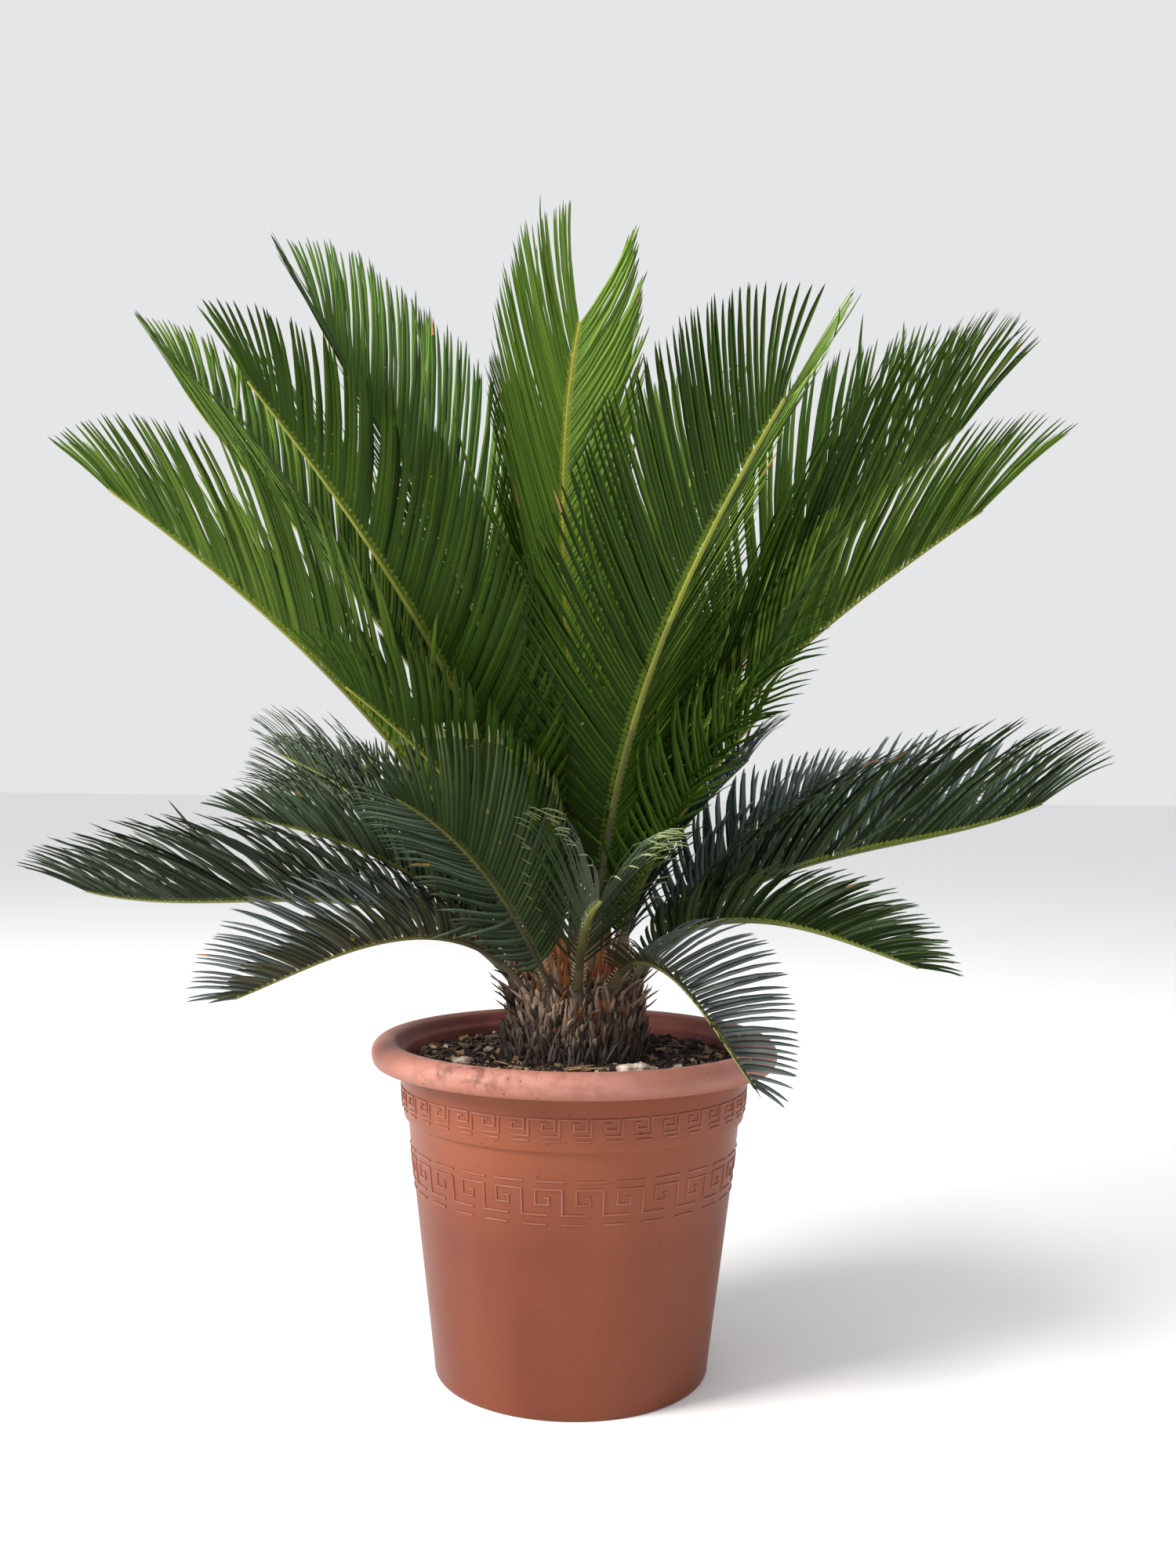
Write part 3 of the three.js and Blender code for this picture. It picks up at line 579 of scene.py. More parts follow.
def makeChips():
    # Bark chips and grit: crooked boxes strewn on the soil, turned at random.
    dice = np.random.default_rng(11)
    count = chips["count"]
    radius, turn = strewn(dice, chips)
    smallest, largest, power = chips["size"]
    size = smallest + (largest - smallest) * dice.uniform(0, 1, count) ** power
    radius = np.minimum(radius, chips["within"] - size * 0.6)
    width, height = (size * dice.uniform(*chips[key], count) for key in ("width", "height"))
    shape = np.stack([size, width, height], -1) / 2
    corner = np.array([[x, y, z] for z in (-1, 1) for x, y in ((-1, -1), (1, -1), (1, 1), (-1, 1))], float)
    box = corner * shape[:, None] * dice.uniform(*chips["crooked"], (count, 8, 3))
    axes = np.linalg.qr(dice.normal(0, chips["tilt"], (count, 3, 3)) + np.eye(3))[0]
    axes = axes * np.sign(np.linalg.det(axes))[:, None, None]
    ahead = level(dice.uniform(0, 2 * np.pi, count))
    flat = np.stack([ahead, np.cross(up, ahead), np.tile(up, (count, 1))], -1)
    place = soilPlace(radius, turn) + shape[:, 2:] * 0.9 * up
    points = box @ (flat @ axes).transpose(0, 2, 1) + place[:, None]
    faces = np.array([[3, 2, 1, 0], [4, 5, 6, 7], [0, 1, 5, 4], [1, 2, 6, 5], [2, 3, 7, 6], [3, 0, 4, 7]])
    straw, pale = (np.exp(-((turn - middle) / wide) ** 2) for middle, wide in (chips["straw"], chips["pale"]))
    lot = dice.uniform(0, 1, count)
    (under, moreStraw), (over, morePale) = chips["strawUnder"], chips["paleOver"]
    lots = [lot < under + moreStraw * straw, lot > over - morePale * pale, lot > chips["ashOver"]]
    kind = np.select(lots, [1, 2, 3], 0)
    materials = [mottled(name + "_chip", shade(color, 0.5), color, (300, 4), 0.85, 0.3, (300, 4, 0.5, 0.001))
                 for name, color in chips["tones"].items()]
    mesh = makeMesh("soil_chips", points, manyTimes(faces, count, 8), kinds=np.repeat(kind, 6), smooth=False)
    addPiece(mesh, materials, "soil")

    # Dry leaflets and stalks lie about.
    count = litter["count"]
    radius, turn = strewn(dice, litter)
    way = turn + np.pi / 2 + dice.normal(0, 0.5, count)
    keys = ("length", "width", "curl", "sway")
    length, width, curl, sway = (dice.uniform(*litter[key], count) for key in keys)
    parts = blades(soilPlace(radius, turn) + 2.5 * up, unit(level(way) + 0.06 * up), np.tile(up, (count, 1)),
                   length, width, litter["thick"], litter["outline"], curl=curl, sway=sway)
    material = mottled("dry_leaf", litter["dark"], litter["dry"], (90, 3), 0.7, 0.3)
    addPiece(makeMesh("dry_leaf_bits", *parts, smooth=False), [material], "soil")


stones = dict(
    rows=22, around=36, size=0.92, knobs=0.13, grit=0.05, pole=0.93,  # shares of half its box
    tones=[(0.34, (0.17, 0.12, 0.09)), (0.5, (0.40, 0.31, 0.25)), (0.68, (0.62, 0.54, 0.47))],
)


def makeStone(name, node, seed):
    # A worn stone: latitude and longitude lines of a ball, knobbed by ripples, in its node's box.
    low, high = (np.array(corner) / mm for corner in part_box(node))
    rise = np.linspace(-1, 1, stones["rows"] + 2)[1:-1] * np.pi / 2
    ball = lathe(np.stack([np.cos(rise), np.sin(rise)], -1), stones["around"])
    ball *= (stones["size"] + stones["knobs"] * ripple(ball, 1.2, seed)
             + stones["grit"] * ripple(ball, 0.35, seed + 1))[..., None]
    mesh = closedLathe(name, ball, -stones["pole"], stones["pole"])
    spots = np.zeros(3 * len(mesh.vertices))
    mesh.vertices.foreach_get("co", spots)
    spots = spots.reshape(-1, 3) / mm * (high - low) / 2 + (low + high) / 2
    mesh.vertices.foreach_set("co", (spots * mm).ravel())
    mesh.update()
    stone = Finish(name + "_rock", 0.8, 0.4)
    tone = stone.ramp(stone.noise(80, 6), *stones["tones"])
    material = stone.set(tone, None, stone.bump(stone.noise(260, 5) + stone.noise(90, 4), 0.8, 0.002))
    addPiece(mesh, [material], "stone", node)


makeSoil()
makeChips()
makeStone("pale_stone", "stone_1", 3)
makeStone("small_stone", "stone_2", 8)
print("soil ready")


stem = dict(
    around=220, along=96,
    heights=[274.6, 281, 292, 306, 320, 331, 342, 352, 361, 367],
    radii=[60.5, 59, 56.5, 54.5, 53.5, 51.0, 46, 36, 20, 3],
    # leaf scars: how many round the stem, how tall and how deep, and how they fade with the height
    scars=13, scarHeight=11, scarDepth=2.8, rough=0.8, brownFrom=336,
    fade=[(275, 0.3), (280, 1), (340, 0.8), (365, 0.2)],
    bark=(0.110, 0.076, 0.052), barkPale=(0.38, 0.27, 0.19), black=(0.024, 0.017, 0.014),
    damp=(0.034, 0.028, 0.027), tan=(0.36, 0.27, 0.19), rust=(0.30, 0.105, 0.035),
    rustPale=(0.48, 0.22, 0.09), wool=(0.22, 0.11, 0.05),
)

# What stands on the stem, as blades: their count and heights (crowd above 1 puts more of them low), how
# they start and lean, their sizes, curl and sway in degrees, and their finishes with the share of each.
stemBlades = dict(
    # old leaf bases: shield-shaped stubs in staggered rows, pressed upwards against the stem
    leaf_base_scales=dict(
        rows=12, around=31, low=282, step=4.7, uneven=1.4, lean=(48, 82), proud=-4, length=(13.3, 22.8),
        width=(6.175, 10.45), thick=(2.8, 4.8), curl=(-26, 14), sway=12, keel=(-0.5, 0.45, -0.5),
        outline=[(0, 0.9), (0.3, 1), (0.6, 0.85), (0.8, 0.6), (0.93, 0.3), (1, 0)],
        finishes=dict(bark=0.46, tan=0.20, black=0.27, brown=0.07)),
    # dry fibres hang on the lower half, upright and a little crossed
    stem_fibres=dict(
        count=1700, heights=(273, 330), crowd=1.5, out=(-0.05, 0.3), cross=0.24, proud=(0, 4.5),
        length=(8, 25), width=(1.4, 6.2), thick=1.3, curl=(-25, 20), sway=16,
        outline=[(0, 0.7), (0.3, 1), (0.7, 0.8), (1, 0)],
        finishes=dict(black=0.44, bark=0.32, tan=0.18, brown=0.06)),
    # loose strips of old leaf stalks stand away from the stem under the crown
    loose_strips=dict(
        count=90, heights=(310, 342), crowd=1, out=(0.45, 1.5), cross=0.4, proud=0,
        length=(16, 38), width=(2.2, 5.5), thick=1.6, curl=(-30, 35), sway=14,
        outline=[(0, 1), (0.3, 0.95), (0.6, 0.7), (0.85, 0.35), (1, 0)],
        finishes=dict(black=0.62, bark=0.30, tan=0.08)),
    # leaf sheaths: upright pointed scales between the frond stalks
    crown_sheaths=dict(
        count=260, heights=(328, 363), crowd=1.2, turn=2.39996, rise=(1.1, 2.2), out=(0.1, 0.8), sunk=4,
        length=(17, 40), width=(5, 11), thick=(1.8, 3.2), curl=(-18, 16), sway=7, keel=(-0.45, 0.5, -0.3),
        outline=[(0, 1), (0.3, 0.95), (0.6, 0.65), (0.85, 0.25), (1, 0)],
        finishes=dict(rust=0.4, brown=0.42, bark=0.18)),
    # wool: short crooked hairs over the crown
    crown_wool=dict(
        count=1600, heights=(326, 366), crowd=1, cross=0.8, sunk=0.5,
        length=(4, 11), width=0.55, thick=0.5, curl=(-80, 80), sway=0,
        outline=[(0, 1), (0.5, 0.8), (1, 0)], finishes=dict(wool=1)),
)


def barkFinish(name, dark, pale, fine=240):
    # Streaked and rough, and darker towards the soil.
    bark = Finish(name, 0.85, 0.25)
    rough, grain = bark.noise(55, 6, 0.5), bark.noise(fine, 5, 0.22)
    tone = bark.mix(bark.climb(rough, 0.35, 0.68), dark, pale)
    tone = bark.mix(bark.climb(grain, 0.5, 0.8, 0.6), tone, shade(dark, 0.4))
    tone = bark.mix(bark.ramp(bark.height(), (0.288, 0.85), (0.324, 0.0)), tone, stem["damp"])
    return bark.set(tone, None, bark.bump(grain + rough, 0.7, 0.002))


def stemPlace(height, turn):
    # Points on the stem's surface, the way the surface faces there, and the level way out.
    radius = np.interp(height, stem["heights"], stem["radii"])
    slope = (radius - np.interp(height - 2, stem["heights"], stem["radii"])) / 2
    outward = level(turn)
    return outward * radius[:, None] + height[:, None] * up, unit(outward - slope[:, None] * up), outward


def makeStem():
    dice = np.random.default_rng(31)

    # The core: a turned line whose radius swells in a spiral lattice of leaf scars.
    knots = len(stem["heights"])
    height = np.interp(np.linspace(0, knots - 1, stem["along"]), np.arange(knots), stem["heights"])
    radius = np.interp(height, stem["heights"], stem["radii"])
    grid = lathe(np.stack([radius, height], -1), stem["around"])
    turn = stem["scars"] * np.arange(stem["around"]) / stem["around"]
    rise = (height[:, None] - stem["fade"][0][0]) / stem["scarHeight"]
    scar = np.abs(np.sin(np.pi * (turn + rise))) * np.abs(np.sin(np.pi * (turn - rise)))
    swell = stem["scarDepth"] * scar + stem["rough"] * ripple(grid, 7, 21)
    swell = swell * np.interp(height, *zip(*stem["fade"]))[:, None]
    grid[..., :2] *= (1 + swell / radius[:, None])[..., None]
    kinds = endKinds(np.repeat(height[:-1] > stem["brownFrom"], stem["around"]), stem["around"])
    finishes = dict(
        bark=barkFinish("old_leaf_bases", stem["bark"], stem["barkPale"]),
        rust=barkFinish("leaf_sheaths", stem["rust"], stem["rustPale"], 160),
        brown=barkFinish("brown_sheaths", shade(stem["rust"], 0.55), shade(stem["rust"], 1.3), 160),
        black=barkFinish("black_fibres", stem["black"], stem["bark"]),
        tan=barkFinish("tan_fibres", stem["barkPale"], stem["tan"]),
        wool=mottled("brown_wool", shade(stem["wool"], 0.4), stem["wool"], (130, 4), 0.95, 0.1))
    core = closedLathe("stem_core", grid, height[0], height[-1] + 0.5, kinds=kinds)
    addPiece(core, [finishes["bark"], finishes["brown"]], "bark", "trunk")

    def seeded(span, count):
        # A number for each blade between the two of a span; a single number stays as it is.
        return dice.uniform(*span, count) if isinstance(span, tuple) else span

    def upright(kind, turn=None):
        # Seeded places on the stem between two heights.
        low, high = kind["heights"]
        spot = low + (high - low) * dice.uniform(0, 1, kind["count"]) ** kind["crowd"]
        return stemPlace(spot, dice.uniform(0, 2 * np.pi, kind["count"]) if turn is None else turn)

    def addBlades(name, start, ahead, outward):
        # Blades whose upper side looks outwards, each in one of their finishes.
        kind, count = stemBlades[name], len(start)
        shares = list(kind["finishes"].values())
        which = dice.choice(len(shares), count, p=shares) if len(shares) > 1 else np.zeros(count, int)
        start = start + outward * seeded(kind.get("proud", 0), (count, 1))
        length, width, thick, curl = (seeded(kind[key], count) for key in ("length", "width", "thick", "curl"))
        parts = blades(start, ahead, squared(outward, ahead), length, width, thick, kind["outline"], curl=curl,
                       sway=dice.normal(0, kind["sway"], count), keel=kind.get("keel", plainKeel))
        rows = len(kind["outline"]) - 1
        faces = np.concatenate([np.repeat(which, rows * 4 - 3), np.repeat(which, 4)])
        materials = [finishes[finish] for finish in kind["finishes"]]
        addPiece(makeMesh(name, *parts, kinds=faces, smooth=False), materials, "bark")

    kind = stemBlades["leaf_base_scales"]
    row, column = (part.ravel() for part in np.mgrid[0:kind["rows"], 0:kind["around"]])
    count = len(row)
    turn = 2 * np.pi * (column + 0.5 * (row % 2)) / kind["around"] + dice.normal(0, 0.035, count)
    height = kind["low"] + row * kind["step"] + dice.normal(0, kind["uneven"], count)
    start, _, outward = stemPlace(height, turn)
    lean = np.radians(dice.uniform(*kind["lean"], count))
    addBlades("leaf_base_scales", start, turned(lean, outward, up), outward)

    for name in ("stem_fibres", "loose_strips"):
        kind = stemBlades[name]
        start, _, outward = upright(kind)
        out = dice.uniform(*kind["out"], (kind["count"], 1))
        cross = dice.normal(0, kind["cross"], (kind["count"], 1))
        addBlades(name, start, unit(up + outward * out + np.cross(up, outward) * cross), outward)

    kind = stemBlades["crown_sheaths"]
    start, normal, outward = upright(kind, np.arange(kind["count"]) * kind["turn"])
    rise, out = (dice.uniform(*kind[key], (kind["count"], 1)) for key in ("rise", "out"))
    addBlades("crown_sheaths", start - kind["sunk"] * normal, unit(up * rise + normal * out), outward)

    kind = stemBlades["crown_wool"]
    start, normal, outward = upright(kind)
    ahead = unit(normal + kind["cross"] * dice.normal(size=(kind["count"], 3)))
    addBlades("crown_wool", start - kind["sunk"] * normal, ahead, unit(normal + 0.01))
    print("stem ready")


makeStem()


# Where the stalks leave the crown: radius and height, stalk width and depth.
crownRings = dict(outer=(50, 332, 8.5, 8), middle=(38, 350, 8.5, 8), inner=(24, 362, 8, 8),
                  heart=(7, 366, 8, 7.5))

# The solids' own table, ring by ring: foot (where the stalk leaves its ring), azimuth and turn (where the
# frond points, and its swing to the tip), lean at stalk, middle and tip, all in degrees; length, longest
# leaflet, vee (how steeply the two rows stand up), sweep (how widely they spread), roll about the rib
# and end (leaflet length at the tip as a share).
Frond = namedtuple("Frond", "ring foot azimuth turn lean length leaf vee sweep roll end")
frondTable = dict(
    heart=dict(
        heart=(-90, 134, -63.5, (91, 76, 64), 622, 226, 9, 0.59, 36, 0.66),
    ),
    inner=dict(
        back_left_tall=(140, 132, 8, (84, 56, 54), 750, 222, 52, 0.72, -15, 0.57),
        heart_back=(95, 108, 10, (85, 74, 62), 520, 170, 44, 0.8, 0, 0.6),
        heart_right=(45, 62, -5, (84, 66, 52), 560, 175, 44, 0.85, 0, 0.6),
    ),
    middle=dict(
        front_left_tall=(216, 216, -3, (82, 58, 46), 550, 146, 46, 0.96, -2, 0.48),
        front_right_tall=(-66, -70, -1, (86, 46, 28), 562, 168, 51, 0.97, 0, 0.52),
        back_right_high=(26, 26, 0, (82, 50, 40), 675, 236, 64, 0.84, 8, 0.6),
        right_high=(0, 0, -5, (87, 48, 36), 532, 176, 42, 0.94, 3, 0.62),
        left_high=(190, 190, 1, (66, 47, 35), 550, 188, 41, 0.88, 4, 0.34),
        back_left_high=(151, 151, -1, (80, 46, 50), 735, 195, 44, 0.7, -4, 0.6),
        left_front_mid=(238, 212, -8, (76, 50, 36), 310, 115, 36, 1, 0, 0.6),
        right_front_high=(-28, -28, 4, (78, 58, 46), 262, 112, 42, 1, 0, 0.5),
        back_high=(89, 92, 4, (80, 52, 34), 560, 170, 42, 1, 0, 0.55),
        back_right_mid=(56, 54, 0, (74, 42, 22), 520, 160, 42, 1, 0, 0.55),
        back_left_mid=(121, 122, 0, (72, 42, 24), 520, 160, 42, 1, 0, 0.55),
    ),
    outer=dict(
        left_low=(182, 178, 0, (55, 1, 13), 412, 155, 43, 1, 2, 0.43),
        right_low=(-3, 2, 8, (63, 15, 23), 425, 178, 41, 1.18, -1, 0.45),
        front_left_arch=(212, 204, 0, (62, -7, -20), 275, 110, 51, 1.18, 4, 0.36),
        right_arch=(-24, -23, 2, (71, 0, -17), 282, 97, 45, 1.03, -2, 0.38),
        front_right_arch=(-54, -66, 12, (60, -20, -38), 245, 80, 47, 1.28, 3, 0.37),
        front_left_low=(248, 225, -25, (60, 51, 28), 225, 125, 34, 1.03, -80, 0.36),
        front_low=(272, 276, -3, (62, 18, 10), 255, 118, 48, 1.0, -8, 0.6),
        left_back_low=(150, 157, -15, (62, 32, 18), 375, 118, 43, 1.1, 8, 0.45),
        left_front_low=(197, 195, 0, (65, 30, 11), 292, 80, 42, 0.96, -6, 0.5),
        left_inner_low=(166, 165, -3, (76, 29, 14), 300, 105, 41, 0.95, -4, 0.57),
        back_right_low=(46, 48, 0, (76, 42, 30), 300, 115, 42, 1, 0, 0.6),
        back_low_right=(73, 75, 0, (62, 22, 2), 420, 135, 42, 1, 0, 0.5),
        back_low_left=(103, 105, 6, (58, 18, -6), 430, 135, 42, 1, 0, 0.5),
        left_back_wide=(131, 140, 0, (60, 22, 4), 420, 130, 42, 1, 0, 0.5),
        right_back_wide=(21, 28, 0, (60, 20, -4), 420, 130, 42, 1, 0, 0.5),
    ),
)
frondTable = {name: Frond(ring, *row) for ring, rows in frondTable.items() for name, row in rows.items()}

# What only the fine leaflets have: pitch and width, curl at the frond's stalk and tip end (how far a
# leaflet bends back, in degrees), hook (how near its tip it bends) and how much the leaflets vary.
leafHabit = dict(
    heart=(5.0, 5.0, -4, -3, 2, 0.8), inner=(5.3, 5.4, -8, -4, 2, 1.0),
    middle=(5.3, 5.3, -12, -4, 2.5, 1.0), outer=(5.0, 5.0, -48, -14, 2.5, 1.5),
    right_low=(4.6, 5.4, -40, -14, 2.5, 1.2), right_front_high=(5.6, 4.6, -52, -58, 1.8, 3.0),
    front_left_low=(4.3, 5.4, -50, -64, 9, 0.8), front_low=(7.2, 4.8, -58, -70, 5, 1.6),
    left_inner_low=(5.6, 3.6, -50, -34, 1.7, 3.0), left_back_low=(5.2, 3.8, -44, -26, 1.8, 2.4),
    back_right_low=(5.2, 4.8, -48, -26, 2.2, 2.0),
)

frondShape = dict(
    steps=120,  # of a rib's path
    base=26, tipWidth=2.6, tipDepth=2.2,  # leaf base sunk in the crown, rib at its tip
    browned=(0.13, 0.25, 0.4, 0.6),  # how far up each finish of the rib reaches, from the stalk on
    bare=0.14, spines=4.5,  # share without leaflets, and the pitch of the spines there
    spineLength=(3.5, 7), spineWidth=1.9, spineThick=1.4,
    bend=14, ridge=0.17,  # a leaflet's swing towards the frond's tip, in degrees; thickness by width
    straight=4,  # from this hook on, a leaflet's tip is dark
    odd=(0.02, 9, 25), dry=0.006,  # share of leaflets out of line and their degrees; share of dry tips
    notch=dict(heart=36),  # the least spread at the tip, where a frond's two rows part
    reach=dict(front_left_arch=(0.6, 1), front_right_arch=(1, 0.7)),  # shorter leaflets, left and right row
    narrow=dict(left_back_low=(1, 0.6)),  # rows laid closer to the rib
    hang=dict(right_high=(0, 46)),  # how far the rows hang near the stalk, in degrees
    hooked=dict(front_left_low=(0, 1), front_low=(1, 1)),  # the rows whose bent tips are pale
    outline=[(0, 0.5), (0.035, 0.9), (0.2, 1), (0.5, 1), (0.74, 0.9), (0.88, 0.64), (0.955, 0.34), (1, 0)],
    slender=[(0, 0.6), (0.035, 0.95), (0.2, 1), (0.45, 0.97), (0.7, 0.76), (0.86, 0.5), (0.95, 0.28), (1, 0)],
    spread=[(0, 66), (0.2, 58), (0.5, 52), (0.8, 45), (0.93, 37), (1, 15)],
    share=[(0, 0.35), (0.12, 0.7), (0.3, 0.97), (0.55, 1)],
    ribSteps=(0, 0.4, 0.75, 1),  # share of the low colour in the rib's finishes
    # the under side's darker half is painted shade
    underside=0.36,  # how light the under side's darker half is, as a share of the other
    fleckColor=(0.20, 0.17, 0.03), dryColor=(0.30, 0.13, 0.03), stalkColor=(0.118, 0.092, 0.050),
    spineColor=(0.52, 0.45, 0.30),
)


def ribPath(frond, s):
    # Places and directions on a rib at shares s of its length. Its lean is a quadratic in s through
    # the angles at stalk, middle and tip, its azimuth turns evenly, and its place is the running sum
    # of even steps, each along the direction at its middle.
    base, middle, tip = frond.lean
    roll = np.radians(frond.roll)

    def directions(at):
        rise = np.radians(base * (1 - at) * (1 - 2 * at) + 4 * middle * at * (1 - at) + tip * at * (2 * at - 1))
        way = np.radians(frond.azimuth + frond.turn * at)
        ahead, left = turned(rise, level(way), up), np.cross(up, level(way))
        top = np.cross(ahead, left)
        return ahead, turned(roll, left, top), turned(roll, top, -left)

    radius, height = crownRings[frond.ring][:2]
    foot = radius * level(np.radians(frond.foot)) + height * up
    count = frondShape["steps"]
    steps = directions((np.arange(count) + 0.5) / count)[0] * frond.length / count
    knots = np.cumsum(np.concatenate([foot[None], steps]), 0)
    at = np.clip(s, 0, 1) * count
    place = np.stack([np.interp(at, np.arange(count + 1), knots[:, axis]) for axis in range(3)], -1)
    ahead, left, top = directions(np.maximum(s, 0))
    return place + ahead * (np.minimum(s, 0) * frond.length)[:, None], ahead, left, top


def ribSize(frond, s):
    # Width and depth of the rib: they shrink with the square root of s, and flare into a leaf base.
    width, depth = crownRings[frond.ring][2:]
    root = np.sqrt(np.clip(s, 0, 1))
    flare = np.exp(-np.clip(s * frond.length / frondShape["base"] + 1, 0, None))
    return ((width + (frondShape["tipWidth"] - width) * root) * (1 + 1.3 * flare),
            (depth + (frondShape["tipDepth"] - depth) * root) * (1 + 0.5 * flare))


def makeRib(frond, seed):
    # An eight-cornered section, flatter above, carried along the path, with spines on its bare stalk.
    # Its finishes are four steps of rib from the tip down, stalk, leaf base and spine.
    leafBase, spine = 5, 6
    sunk = np.linspace(-frondShape["base"], 0, 4)[:-1] / frond.length
    s = np.concatenate([sunk, np.linspace(0, 1, 60) ** 1.15])
    place, ahead, left, top = ribPath(frond, s)
    width, depth = ribSize(frond, s)
    angle = 2 * np.pi * (np.arange(8) + 0.5) / 8
    across, tall = np.cos(angle), np.where(np.sin(angle) > 0, 0.72, 1) * np.sin(angle)
    ring = (place[:, None] + (0.54 * width[:, None] * across)[..., None] * left[:, None]
            + (0.54 * depth[:, None] * tall)[..., None] * top[:, None])
    last = len(s) * 8
    points = np.concatenate([ring.reshape(-1, 3), [place[0], place[-1] + 1.2 * ahead[-1]]])
    ends = np.concatenate([fan(last, np.arange(8)), fan(last + 1, np.arange(8) + last - 8, flip=True)])
    tube = (points, gridQuads(len(s), 8)[:, ::-1], ends, points[:, :2])
    middle = (s[:-1] + s[1:]) / 2
    where = [middle * frond.length < 5] + [middle < share for share in frondShape["browned"]]
    tubeKinds = np.repeat(np.select(where, [leafBase, 4, 3, 2, 1], 0), 8)

    dice = np.random.default_rng(seed)
    bare = frondShape["bare"]
    count = max(4, int(bare * frond.length / frondShape["spines"]))
    at = np.tile(np.linspace(0.03, bare, count), 2) + dice.normal(0, 0.002, 2 * count)
    side = np.repeat([1.0, -1.0], count)[:, None]
    place, ahead, left, top = ribPath(frond, at)
    wide, deep = (size[:, None] for size in ribSize(frond, at))
    way = unit(0.6 * ahead + side * left + 0.6 * top)
    size = np.interp(at, [0, bare], frondShape["spineLength"]) * dice.uniform(0.6, 1.2, 2 * count)
    start = place + side * left * 0.42 * wide + top * 0.15 * deep
    spines = blades(start, way, squared(top, way), size, frondShape["spineWidth"], frondShape["spineThick"],
                    [(0, 1), (0.45, 0.6), (1, 0)], keel=(0, 0.5, -0.5))
    return (together([tube, spines]), np.concatenate([tubeKinds, np.full(len(spines[1]), spine)]),
            np.concatenate([np.repeat([leafBase, 0], 8), np.full(len(spines[2]), spine)]))


# The finishes of a leaflet: deep and dark, painted shade on its shaded half, mid and light, painted light on
# the lit one, the under side, root and tip, a dry tip, and the under side's darker half in painted shade.
leafParts = ("deep", "dark", "mid", "light", "under", "root", "tip", "dry", "underside")


def makeLeaflets(name, frond, seed):
    # Two rows of blades. At each station the spread from the rib, the rise of the row and the length
    # follow the same laws as the solids; each blade swings towards the frond's tip.
    pitch, wide, curlLow, curlTip, hook, vary = leafHabit.get(name, leafHabit[frond.ring])
    dice = np.random.default_rng(seed)
    bare = frondShape["bare"]
    pairs = int(round((1 - bare) * frond.length / pitch))
    count = 2 * pairs

    def perRow(key, usual):
        # What the two rows of this frond have of their own, for each leaflet.
        return np.repeat(frondShape[key].get(name, (usual, usual)), pairs)

    side = np.repeat([1.0, -1.0], pairs)[:, None]
    u = np.tile((np.arange(pairs) + 0.5) / pairs, 2) + side[:, 0] * 0.15 / pairs
    u = np.clip(u + dice.normal(0, 0.08 / pairs, count), 0, 1)
    place, ahead, left, top = ribPath(frond, bare + (1 - bare) * u)
    ribWide, ribDeep = (size[:, None] for size in ribSize(frond, bare + (1 - bare) * u))
    share, oddTurn, oddCurl = frondShape["odd"]
    odd = dice.uniform(0, 1, count) < share
    spread = np.maximum(np.interp(u, *zip(*frondShape["spread"])), frondShape["notch"].get(name, 0))
    spread = spread * frond.sweep * perRow("narrow", 1)
    spread = np.radians(spread + dice.normal(0, vary, count) + odd * dice.normal(0, oddTurn, count))
    hang = perRow("hang", 0) * np.interp(u, [0.3, 0.55], [1, 0])
    rise = frond.vee * (0.5 + 0.5 * np.minimum(1, u / 0.55)) - hang
    rise = np.radians(rise + dice.normal(0, 1.2 * vary, count) + odd * dice.normal(0, oddTurn, count))
    shares = frondShape["share"] + [(0.8, 0.55 + frond.end / 2), (1, frond.end)]
    reach = frond.leaf * np.interp(u, *zip(*shares)) * (1 + 0.015 * vary * dice.uniform(-1.6, 0.8, count))
    reach = reach * perRow("reach", 1)
    outward, face = turned(rise, side * left, top), turned(rise, top, -side * left)
    way = turned(spread, ahead, outward)
    towardsTip = np.sign((np.cross(way, face) * ahead).sum(-1))
    curl = np.interp(u, [0, 0.6, 1], [curlLow, curlTip, curlTip]) - hang
    curl = curl * dice.uniform(0.7, 1.3, count) + dice.normal(0, 2, count)
    curl = curl + odd * dice.normal(0, oddCurl, count)
    width = wide * np.interp(u, [0, 0.1, 0.5, 1], [0.75, 1, 0.97, 0.66]) * dice.uniform(0.94, 1.05, count)
    outline = frondShape["slender" if frond.ring == "outer" else "outline"]
    parts = blades(place + side * left * 0.38 * ribWide + top * 0.2 * ribDeep, way, face, reach, width,
                   frondShape["ridge"] * width, outline, curl=curl, hook=hook,
                   sway=towardsTip * (frondShape["bend"] + dice.normal(0, 1.5 * vary, count)))

    # Round a blade there are the two halves of its upper side, then those of its lower side. Which half gets
    # the painted light and which the painted shade depends on the side that turns to the frond's tip.
    deep, dark, mid, light, under, root, tip, dry, underside = range(len(leafParts))
    rows = len(outline) - 1
    paler = dice.choice(2, count, p=[0.55, 0.45])
    lit, shaded, edge = mid + paler, deep + paler, np.where(paler == 1, under, dark)
    quadKinds = np.full((count, rows * 4 - 3), under)
    around = quadKinds[:, :-1].reshape(count, rows - 1, 4)
    for half, (one, other) in enumerate([(lit, shaded), (shaded, lit), (underside, edge), (edge, underside)]):
        around[:, :, half] = np.where(towardsTip > 0, one, other)[:, None]
    around[:, 0] = root
    dryTips = dice.uniform(0, 1, count) < frondShape["dry"]
    around[dryTips, -1] = dry
    hooked = perRow("hooked", 0) > 0
    around[hooked, -1] = tip
    tips = np.where(hooked | (hook < frondShape["straight"]), tip, dark)
    tips = np.where(dryTips, dry, tips)
    return parts, quadKinds.ravel(), np.repeat(tips, 4)


